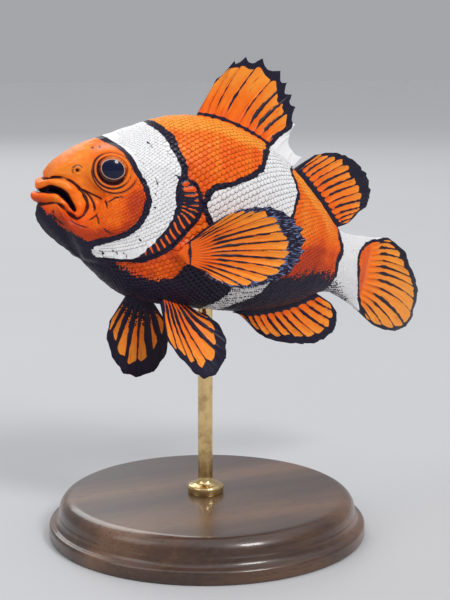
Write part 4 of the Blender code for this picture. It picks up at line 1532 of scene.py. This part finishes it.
@dataclass(frozen=True)
class Pigment:
    """The colours of the fish, and the group that lays them over its markings and its painted light and shade."""

    # Oranges from deep to light. The tone that picks among them holds painted light and shade as well as random tone.
    deep: Colour = (0.52, 0.045, 0.006)
    rich: Colour = (0.86, 0.105, 0.004)
    plain: Colour = (0.96, 0.165, 0.004)
    light: Colour = (1.0, 0.335, 0.035)
    black: Colour = (0.0135, 0.0095, 0.027)
    # Colour of the painted shade in folds, pits, grooves and eye rings. The fins darken along their rays with it too.
    crease: Colour = (0.045, 0.008, 0.012)
    white: Colour = (0.88, 0.87, 0.86)
    # Grey that the white goes towards at random, and as painted shade in folds and at the scales' sunk roots.
    grey_and_shaded_white: Colour = (0.66, 0.66, 0.69)

    def group(self) -> Tree:
        """Builds the group.

        The fields come in as distances. Noise moves their edges a little, and each is cut at 0 into a mask. The
        painted shade of the underside is laid as dots that grow until they meet.

        Returns:
            The group.
        """
        group = bpy.data.node_groups.new("pigment", "ShaderNodeTree")
        add = group.interface.new_socket
        add(name="Place", in_out="INPUT", socket_type="NodeSocketVector")
        for name, value in (("White", -9.0), ("Ink", -9.0), ("Dusk", 0.0), ("Tone", 0.0), ("Crease", 0.0),
                            ("Rim", 0.5), ("Edge Wander", 0.35), ("Specks", 0.5)):
            add(name=name, in_out="INPUT", socket_type="NodeSocketFloat").default_value = value
        for name, kind in (("Color", "Color"), ("Black", "Float"), ("White", "Float")):
            add(name=name, in_out="OUTPUT", socket_type="NodeSocket" + kind)
        w = Wiring(group)
        given, end = group.nodes.new("NodeGroupInput").outputs, group.nodes.new("NodeGroupOutput")
        place = given["Place"]
        shift = w.plus(w.wobble(w.noise(place, 620, 3), given["Edge Wander"]), w.wobble(w.noise(place, 3400, 2), 0.16))
        white = w.step(w.plus(given["White"], shift), -0.05, 0.05)
        black = w.step(w.plus(given["Ink"], shift), -0.05, 0.05)
        tone = w.plus(given["Tone"], w.wobble(w.noise(place, 1500, 3), 0.5))
        # Painted shade and light on each scale: darker at its sunk root under the scale before, lighter at its free
        # edge.
        tone = w.plus(tone, w.wobble(given["Rim"], 0.35))
        # The orange is picked by the tone, with its painted light and shade.
        orange = w.ramp(w.plus(w.times(tone, 0.5), 0.5, clamp=True),
                        ((0.0, self.deep), (0.32, self.rich), (0.55, self.plain), (1.0, self.light)))
        pick = w.step(w.noise(place, 420, 1), 0.48, 0.60)
        speck = w.times(w.step(w.cells(place, 820), 0.17, 0.09), w.times(pick, given["Specks"]))
        orange = w.mix(speck, orange, self.deep)
        pale = w.mix(w.times(w.noise(place, 260, 3), 0.25), self.white, self.grey_and_shaded_white)
        pale = w.mix(w.times(speck, 0.7), pale, self.black)
        # Painted shade on the white at each scale's sunk root.
        pale = w.mix(w.times(w.step(given["Rim"], 0.35, 0.0), 0.22), pale, self.grey_and_shaded_white)
        # Painted shade of the underside, laid as dots that grow until they meet.
        grown = w.times(w.math("POWER", given["Dusk"], 0.6), 0.80)
        dusk = w.step(w.minus(grown, w.cells(place, 2250, 0.45)), -0.04, 0.06)
        dusk = w.math("MAXIMUM", dusk, w.step(given["Dusk"], 0.80, 0.95))
        # Painted shade in folds, pits and grooves.
        colour = w.mix(w.step(given["Crease"], 0.0, 0.62), orange, self.crease)
        colour = w.mix(black, colour, self.black)
        # The painted crease shade greys the white too.
        colour = w.mix(white, colour, w.mix(w.times(given["Crease"], 0.6), pale, self.grey_and_shaded_white))
        # The painted shade of the underside goes over everything.
        colour = w.mix(dusk, colour, self.black)
        w.feed(end.inputs["Color"], colour)
        # The black ink, and the painted shade of the underside.
        w.feed(end.inputs["Black"], w.math("MAXIMUM", w.times(black, w.minus(1.0, white)), dusk))
        w.feed(end.inputs["White"], white)
        return group


def new_material(name: str, rough: float, **sockets: float) -> tuple[Material, Wiring, Node]:
    """Starts a material with a Principled BSDF.

    Args:
        name: Its name.
        rough: Its roughness.
        sockets: Numbers for other sockets, with a low line for each space in the name.

    Returns:
        The material, a wiring for it and the shader.
    """
    material = bpy.data.materials.new(name)
    material.use_nodes = True
    shader = material.node_tree.nodes["Principled BSDF"]
    shader.inputs["Roughness"].default_value = rough
    for key, value in sockets.items():
        shader.inputs[key.replace("_", " ")].default_value = value
    return material, Wiring(material.node_tree), shader


def add_bump(w: Wiring, shader: Node, height: Socket, strength: float, depth: float) -> None:
    """Feeds a height through a Bump node, whose depth is in millimetres, to the shader's normal."""
    bump = w.add("Bump", {"Strength": strength, "Distance": depth * MM, "Height": height})
    w.feed(shader.inputs["Normal"], bump.outputs["Normal"])


class Surface(Enum):
    """Which kind of surface a fish finish is for."""

    SKIN = "skin"
    SCALES = "scales"
    FIN = "fin"


@dataclass(frozen=True)
class FishFinish:
    """Pigment under a satin varnish, for skin, scales or fins."""

    surface: Surface
    edge_wander: float
    specks: float
    rough: float
    coat: float
    streak_deep: Colour = (0.42, 0.03, 0.006)
    streak_light: Colour = (1.0, 0.36, 0.05)
    hair_line: Colour = (0.20, 0.25, 0.46)

    def material(self, pigment: Tree) -> Material:
        """Makes the material.

        Args:
            pigment: The group that lays the colours over the markings.

        Returns:
            The material.
        """
        material, w, shader = new_material("fish_" + self.surface.value, self.rough, Coat_Weight=self.coat,
                                           Coat_Roughness=0.2, IOR=1.4, Specular_IOR_Level=0.28)
        place = w.place()
        names = ("White", "Ink", "Dusk", "Tone", "Crease") + (("Rim",) if self.surface is Surface.SCALES else ())
        sources = {name: w.attribute(name.lower()) for name in names}
        sources |= {"Place": place, "Edge Wander": self.edge_wander, "Specks": self.specks}
        group = w.add("Group", sources, node_tree=pigment)
        # The second output holds the black ink and the painted shade of the underside.
        colour, black = group.outputs["Color"], group.outputs["Black"]
        grain = w.noise(place, 2600, 3, 0.6)
        if self.surface is Surface.SCALES:
            rim = w.step(w.attribute("rim"), 0.80, 1.0)
            add_bump(w, shader, w.plus(w.times(grain, 0.5), w.times(rim, -0.5)), 0.25, 0.06)
        elif self.surface is Surface.FIN:
            # Streaks and hair-lines run along the rays.
            across, along = w.attribute("across"), w.attribute("along")
            streaks = w.noise(w.vector(w.times(across, 7.0), w.times(along, 2.2)), 1.0, 3, 0.55)
            inside = w.minus(w.minus(1.0, black), group.outputs["White"], clamp=True)
            deep = w.times(w.times(w.step(streaks, 0.60, 0.68), inside), 0.55)
            lit = w.times(w.times(w.step(streaks, 0.42, 0.34), inside), 0.45)
            hairs = w.noise(w.vector(w.times(across, 8.0), w.times(along, 14.0)), 1.0, 2, 0.6)
            hair = w.times(w.times(w.step(hairs, 0.54, 0.60), w.attribute("hair")), black)
            for share, tint in ((deep, self.streak_deep), (lit, self.streak_light), (hair, self.hair_line)):
                colour = w.mix(share, colour, tint)
            add_bump(w, shader, w.plus(w.times(streaks, 0.7), w.times(grain, 0.3)), 0.35, 0.08)
        else:
            pits = w.cells(place, 2300)
            add_bump(w, shader, w.plus(w.times(grain, 0.6), w.times(pits, 0.4)), 0.22, 0.07)
        w.feed(shader.inputs["Base Color"], colour)
        shine = w.plus(w.times(w.noise(place, 900, 3), 0.16), self.rough - 0.08)
        w.feed(shader.inputs["Roughness"], w.minus(shine, w.times(black, 0.04)))
        return material


@dataclass(frozen=True)
class EyeFinish:
    """A black pupil in a thin pale ring, an iris of orange and brown streaks painted darker below as shade, and a dark
    rim, under clear gloss.
    """

    pupil: float = 1.84
    ring: float = 1.96
    iris: float = 2.85
    pupil_colour: Colour = (0.002, 0.005, 0.030)
    ring_colour: Colour = (0.62, 0.36, 0.26)
    rim_colour: Colour = (0.012, 0.008, 0.014)
    iris_stops: tuple[tuple[float, Colour], ...] = (
        (0.25, (0.022, 0.008, 0.010)), (0.42, (0.075, 0.014, 0.010)), (0.6, (0.32, 0.05, 0.012)),
        (0.85, (0.80, 0.20, 0.03)))

    def material(self) -> Material:
        """Makes the material from the distances and the turn that the ball carries.

        Returns:
            The material.
        """
        material, w, shader = new_material("eye_glass", 0.25, Coat_Weight=0.55, Coat_Roughness=0.02, IOR=1.38,
                                           Specular_IOR_Level=0.10)
        away, turn, high = w.attribute("iris"), w.attribute("turn"), w.attribute("high")
        cosine, sine = (w.times(w.math(name, turn), 5.0) for name in ("COSINE", "SINE"))
        noise = w.noise(w.vector(cosine, sine, w.times(away, 0.5)), 1.6, 4, 0.6)
        away = w.plus(away, w.wobble(w.noise(w.place(), 900, 2), 0.16))
        # Painted shade: the iris is lighter at the top and darker towards the bottom.
        iris = w.ramp(w.plus(w.times(noise, 0.7), w.times(w.step(high, -1.6, 1.8), 0.42)), self.iris_stops)
        colour = w.mix(w.step(away, self.ring - 0.04, self.ring + 0.04), self.ring_colour, iris)
        colour = w.mix(w.step(away, self.pupil - 0.03, self.pupil + 0.03), self.pupil_colour, colour)
        colour = w.mix(w.step(away, self.iris - 0.25, self.iris + 0.1), colour, self.rim_colour)
        w.feed(shader.inputs["Base Color"], colour)
        add_bump(w, shader, w.times(noise, w.step(away, self.pupil, self.ring)), 0.12, 0.05)
        return material


@dataclass(frozen=True)
class WoodFinish:
    """Dark varnished walnut whose grain runs along x."""

    dark: Colour = (0.030, 0.012, 0.006)
    mid: Colour = (0.085, 0.036, 0.016)
    pale: Colour = (0.17, 0.080, 0.036)

    def material(self) -> Material:
        """Makes the material: rings seen along the board, with pores drawn out along the grain.

        Returns:
            The material.
        """
        material, w, shader = new_material("walnut", 0.34, Coat_Weight=0.55, Coat_Roughness=0.12)
        along = w.stretched(w.place(), (0.12, 1.0, 1.0))
        split = w.add("SeparateXYZ", {0: along})
        ring = w.plus(w.times(split.outputs["Y"], 260), w.times(w.noise(along, 90, 3), 9.0))
        ring = w.plus(ring, w.times(split.outputs["Z"], 120))
        band = w.plus(w.times(w.math("SINE", ring), 0.5), 0.5)
        grain = w.noise(along, 1400, 3, 0.6)
        share = w.plus(w.times(band, 0.6), w.times(grain, 0.5), clamp=True)
        colour = w.ramp(share, ((0.15, self.dark), (0.5, self.mid), (0.95, self.pale)))
        pore = w.step(w.noise(along, 2600, 1), 0.60, 0.70)
        colour = w.mix(w.times(pore, 0.6), colour, self.dark)
        w.feed(shader.inputs["Base Color"], colour)
        w.feed(shader.inputs["Roughness"], w.plus(w.times(grain, 0.2), 0.26))
        add_bump(w, shader, w.minus(w.times(grain, 0.4), pore), 0.18, 0.06)
        return material


@dataclass(frozen=True)
class BrassFinish:
    """Brushed brass, a little darkened by handling."""

    bright: Colour = (0.80, 0.58, 0.27)
    dull: Colour = (0.42, 0.27, 0.11)

    def material(self) -> Material:
        """Makes the material: fine rings of brushing round the axis and soft patches of tarnish.

        Returns:
            The material.
        """
        material, w, shader = new_material("brass", 0.28, Metallic=1.0)
        place = w.place()
        brush = w.noise(w.stretched(place, (0.15, 0.15, 1.0)), 9000, 2)
        stain = w.noise(place, 330, 4, 0.6)
        w.feed(shader.inputs["Base Color"], w.mix(w.step(stain, 0.42, 0.75), self.bright, self.dull))
        w.feed(shader.inputs["Roughness"], w.plus(w.times(brush, 0.18), w.times(stain, 0.22)))
        add_bump(w, shader, brush, 0.10, 0.02)
        return material


# ---- the whole


@dataclass(frozen=True)
class Studio:
    """Camera, floor and soft lights. Lengths are in metres."""

    yaw: float = math.radians(27.9)
    lift: float = math.radians(9.5)
    distance: float = 0.240
    aside: float = -0.0076
    above: float = 0.0138
    lens: float = 84.36
    sensor: float = 36.0
    # Each square lamp: name, way from the fish (right, forward, up), distance, side and power.
    lamps: tuple[tuple[str, Point, float, float, float], ...] = (
        ("key", (0.48, -0.69, 0.54), 1.4, 0.36, 9.4),
        ("fill", (-0.80, -0.5, 0.60), 1.6, 0.80, 3.6),
        ("rim", (-0.35, 0.9, 0.9), 1.2, 0.60, 2.8))
    lamp_target: Point = (0.010, 0.0, -0.004)  # from the pivot
    sky_colour: Colour = (0.93, 0.95, 1.0)
    sky_strength: float = 0.40
    overhead: float = 0.72  # how much stronger the sky is overhead
    floor_colours: tuple[Colour, Colour] = ((0.52, 0.52, 0.53), (0.55, 0.55, 0.55))
    floor_half: float = 6.0
    floor_lines: int = 13

    def build(self, pivot: Array) -> None:
        """Sets up the view, the floor and the light.

        Args:
            pivot: The fish's pivot, in metres.
        """
        scene = bpy.context.scene
        right = np.array([math.cos(self.yaw), -math.sin(self.yaw), 0])
        level = np.array([math.sin(self.yaw), math.cos(self.yaw), 0])
        forward = level * math.cos(self.lift) + np.array([0, 0, -math.sin(self.lift)])
        up = np.cross(right, forward)
        place = pivot - self.aside * right - self.distance * forward - self.above * up
        camera = bpy.data.objects.new("camera", bpy.data.cameras.new("camera"))
        camera.data.lens, camera.data.sensor_width = self.lens, self.sensor
        camera.data.clip_start, camera.data.clip_end = 0.01, 10.0
        camera.matrix_world = Matrix.Translation(place.tolist()) @ Matrix(
            np.stack([right, up, -forward], 1).tolist()).to_4x4()
        scene.collection.objects.link(camera)
        scene.camera = camera
        scene.view_settings.view_transform = "Standard"
        self.floor()
        target = pivot + np.array(self.lamp_target)
        for name, way, distance, size, power in self.lamps:
            offset = unit(way[0] * right + way[1] * forward + way[2] * up) * distance
            light = bpy.data.lights.new(name, "AREA")
            light.size, light.energy = size, power
            made = bpy.data.objects.new(name, light)
            made.location = (target + offset).tolist()
            made.rotation_euler = Vector((-offset).tolist()).to_track_quat("-Z", "Y").to_euler()
            scene.collection.objects.link(made)
        scene.world = self.sky()

    def sky(self) -> bpy.types.World:
        """Soft light from all round, brighter overhead.

        Returns:
            The world.
        """
        world = bpy.data.worlds.new("studio")
        world.use_nodes = True
        w = Wiring(world.node_tree)
        split = w.add("SeparateXYZ", {0: w.add("TexCoord").outputs["Generated"]})
        background = world.node_tree.nodes["Background"]
        w.feed(background.inputs["Color"], self.sky_colour)
        overhead = w.times(w.step(split.outputs["Z"], 0.5, 0.95), self.overhead)
        w.feed(background.inputs["Strength"], w.plus(overhead, self.sky_strength))
        return world

    def floor(self) -> None:
        """Lays a wide pale floor, which isn't part of the model."""
        side = np.linspace(-self.floor_half, self.floor_half, self.floor_lines)
        across, along = np.meshgrid(side, side, indexing="ij")
        points = np.stack([across, along, 0 * along], -1).reshape(-1, 3)
        mesh = bpy.data.meshes.new("floor")
        mesh.from_pydata(points.tolist(), [], grid_faces(self.floor_lines, self.floor_lines, False).tolist())
        made = bpy.data.objects.new("floor", mesh)
        bpy.context.scene.collection.objects.link(made)
        material, w, shader = new_material("pale_floor", 0.75)
        w.feed(shader.inputs["Base Color"], w.mix(w.noise(w.place(), 8, 3), *self.floor_colours))
        mesh.materials.append(material)


def fins(body: BodyShape) -> list[Fin]:
    """Every fin, with its roots and tips in the straight frame.

    Args:
        body: The body that they grow from.

    Returns:
        The fins of the middle plane from the head back, then the pairs.
    """

    def ridge(stations: Row, edge: int) -> tuple[Point, ...]:
        """Root points a hair off the back (edge 1) or the belly (edge -1)."""
        line = body.sizes(np.array(stations))[0 if edge > 0 else 1]
        return tuple((x, 0.0, z) for x, z in zip(stations, line + edge * 0.3))

    def middle(pairs: tuple[Pair, ...]) -> tuple[Point, ...]:
        """Station and height pairs as points of the middle plane."""
        return tuple((x, 0.0, z) for x, z in pairs)

    def beside(points: tuple[Point, ...], side: Side) -> tuple[Point, ...]:
        """Points with a width, put on the side asked for."""
        return tuple((x, -side.value * y, z) for x, y, z in points)

    made = [
        Fin("dorsal_fin_spiny", ridge((26.2, 27.4, 28.9, 30.9, 34.0, 35.8, 37.2, 38.6, 40.4, 42.6, 45.4, 47.1), 1),
            middle(((27.8, 24.6), (30.2, 28.4), (32.1, 29.7), (35.4, 30.4), (39.5, 29.5), (41.5, 27.9), (43.2, 26.2),
                    (44.8, 24.4), (45.7, 21.4), (45.3, 19.2), (46.5, 16.9), (49.0, 16.3))),
            rays=12, scallop=0.1, wave=0.6, foot=0.27, line=0.30, branch=2.0, bars=(1,), bow=0.5,
            margin=(0.5, 0.9, 1.2, 1.4, 1.4, 1.4, 1.4, 1.4, 1.3, 1.0, 0.7, 0.5),
            lines=(0.0, 0.5, 1.0, 1.0, 1.0, 1.0, 1.0)),
        Fin("dorsal_fin_soft", ridge((47.6, 49.4, 51.6, 54.0, 56.4, 58.8, 60.6), 1),
            middle(((50.8, 17.3), (54.3, 18.7), (57.9, 18.9), (61.5, 18.1), (64.6, 16.6), (66.6, 14.4), (67.1, 11.8),
                    (65.4, 9.9), (63.0, 7.3))),
            rays=14, wave=0.7, foot=0.9, line=0.24, trail=0.5, lead=0.8, bow=0.4,
            margin=(0.5, 1.2, 1.8, 2.2, 2.4, 2.3, 1.9, 1.3)),
        Fin("anal_fin", ridge((43.0, 45.0, 47.4, 50.2, 53.2, 56.4, 59.8), -1),
            middle(((44.8, -13.4), (47.4, -15.1), (50.4, -16.4), (53.8, -16.8), (57.4, -16.5), (60.9, -15.9),
                    (63.8, -14.5), (65.6, -12.2), (65.4, -9.6), (63.2, -7.6))),
            rays=13, wave=0.6, foot=0.85, line=0.30, trail=0.4, bow=0.5,
            margin=(0.8, 1.3, 1.6, 1.7, 1.7, 1.6, 1.5, 1.2)),
        Fin("tail_fin", middle(((71.0, 6.3), (70.6, -0.8), (70.5, -7.7))),
            middle(((73.6, 6.9), (76.6, 6.3), (80.2, 5.2), (82.8, 3.4), (86.0, 1.7), (89.2, 0.2), (92.0, -2.2),
                    (93.5, -5.0), (92.6, -8.2), (88.8, -9.8), (83.6, -10.3), (78.0, -9.9), (74.2, -8.8))),
            rays=14, wave=0.8, thick=1.2, lead=0.8, trail=1.3, line=0.34, line_start=0.04, bars=(2,),
            bow=0.9, pale=0.5, margin=(1.0, 1.7, 2.2, 2.2, 1.7, 1.6, 1.3, 1.7, 2.0, 1.6))]
    made += [
        Fin(f"pectoral_fin_{side.word}", beside(((26.2, 8.8, -3.2), (27.6, 8.6, -7.2)), side),
            beside(((29.8, 11.6, 2.6), (33.0, 12.5, 4.7), (36.6, 13.1, 5.8), (40.4, 13.6, 5.3), (43.2, 13.9, 3.6),
                    (44.7, 13.9, 0.9), (44.7, 13.7, -1.9), (43.2, 13.3, -4.8), (39.6, 12.6, -7.3), (35.8, 11.8, -8.6),
                    (31.6, 10.5, -8.0)), side),
            rays=16, scallop=0.03, wave=0.7, thick=1.0, lead=0.25, trail=0.3, foot=0.13, line=0.24, line_start=0.05,
            hair=1.0, sink=1.6, base=0.5, bow=0.5, margin=(0.2, 0.9, 1.7, 2.1, 2.2, 2.2, 2.1, 1.8, 1.4, 0.9, 0.5))
        for side in Side]
    return made + [
        Fin("pelvic_fin_left", beside(((27.0, 3.0, -14.9), (29.9, 2.6, -14.9), (33.0, 2.2, -14.5)), Side.LEFT),
            beside(((28.9, 4.8, -20.3), (31.2, 5.9, -22.4), (33.6, 6.8, -24.0), (35.4, 7.4, -25.1), (37.4, 7.5, -24.9),
                    (38.9, 7.3, -23.0), (39.4, 6.8, -20.0), (38.7, 6.1, -17.4), (37.2, 5.2, -15.5),
                    (35.4, 4.4, -14.5)), Side.LEFT),
            rays=9, scallop=0.03, wave=0.5, thick=1.0, lead=0.35, trail=0.3, line=0.30, line_start=-0.2, sink=1.8,
            base=0.5, bow=0.4, margin=(1.0, 1.4, 2.0, 2.4, 2.3, 1.8, 1.5, 1.3, 1.0)),
        Fin("pelvic_fin_right", beside(((22.9, 2.9, -15.2), (25.6, 2.6, -15.1), (28.2, 2.4, -15.0)), Side.RIGHT),
            beside(((21.8, 4.2, -20.0), (22.3, 4.6, -22.8), (24.0, 5.2, -25.4), (26.6, 5.8, -28.0), (29.4, 6.6, -28.9),
                    (31.8, 6.8, -28.5), (33.9, 6.6, -26.3), (34.6, 5.8, -22.9), (33.2, 4.4, -18.6)), Side.RIGHT),
            rays=8, scallop=0.03, wave=0.5, thick=1.0, lead=0.3, trail=0.6, line=0.62, line_start=-0.2, shadow=1.0,
            sink=1.8, base=0.5, bow=0.4, margin=(0.8, 1.6, 2.0, 2.2, 2.6, 3.2, 3.4, 3.0, 1.6))]


def main() -> None:
    """Builds every piece of the model in order, and the studio round it."""
    logging.basicConfig(level=logging.INFO, format="%(name)s: %(message)s")
    pose, body, orbit = Pose(), BodyShape(), Orbit()
    skin = Skin(body, Markings(), GillEdge(), orbit)
    pigment = Pigment().group()
    skin_finish = FishFinish(Surface.SKIN, edge_wander=0.35, specks=0.5, rough=0.42, coat=0.10).material(pigment)
    scale_finish = FishFinish(Surface.SCALES, edge_wander=0.30, specks=0.55, rough=0.42, coat=0.08).material(pigment)
    fin_finish = FishFinish(Surface.FIN, edge_wander=0.26, specks=0.2, rough=0.48, coat=0.04).material(pigment)
    points, normals, shade = skin.grid()
    finished = [(skin.build(pose, points, shade), skin_finish)]
    scales = Scales(pose, skin, points, normals, shade)
    head = Coat("scales_head", on_trunk=False, around=120, first_station=8.0, pitch=0.80, lift=0.10, thick=0.035,
                seed=5, parts=(("", 0.0, 30.0),))
    trunk = Coat("scales_trunk", on_trunk=True, around=84, first_station=10.5, pitch=0.80, lift=0.12, thick=0.040,
                 seed=6, parts=(("_front", 0.0, 38.0), ("_middle", 38.0, 51.0), ("_rear", 51.0, 73.0)))
    finished += [(scales.build(coat, part, side), scale_finish)
                 for side in Side for coat in (head, trunk) for part in coat.parts]
    finished += [(fin.build(pose, skin.markings), fin_finish) for fin in fins(body)]
    glass = EyeFinish().material()
    finished += [(Eye(orbit).build(side, pose), glass) for side in Side]
    base, rod = Stand().build(body, pose)
    finished += [(base, WoodFinish().material()), (rod, BrassFinish().material())]
    for piece, finish in finished:
        piece.data.materials.append(finish)
        log.info("%s: %d triangles", piece.name, sum(len(face.vertices) - 2 for face in piece.data.polygons))
    Studio().build(np.array(pose.pivot) * MM)


if __name__ == "__main__":
    main()
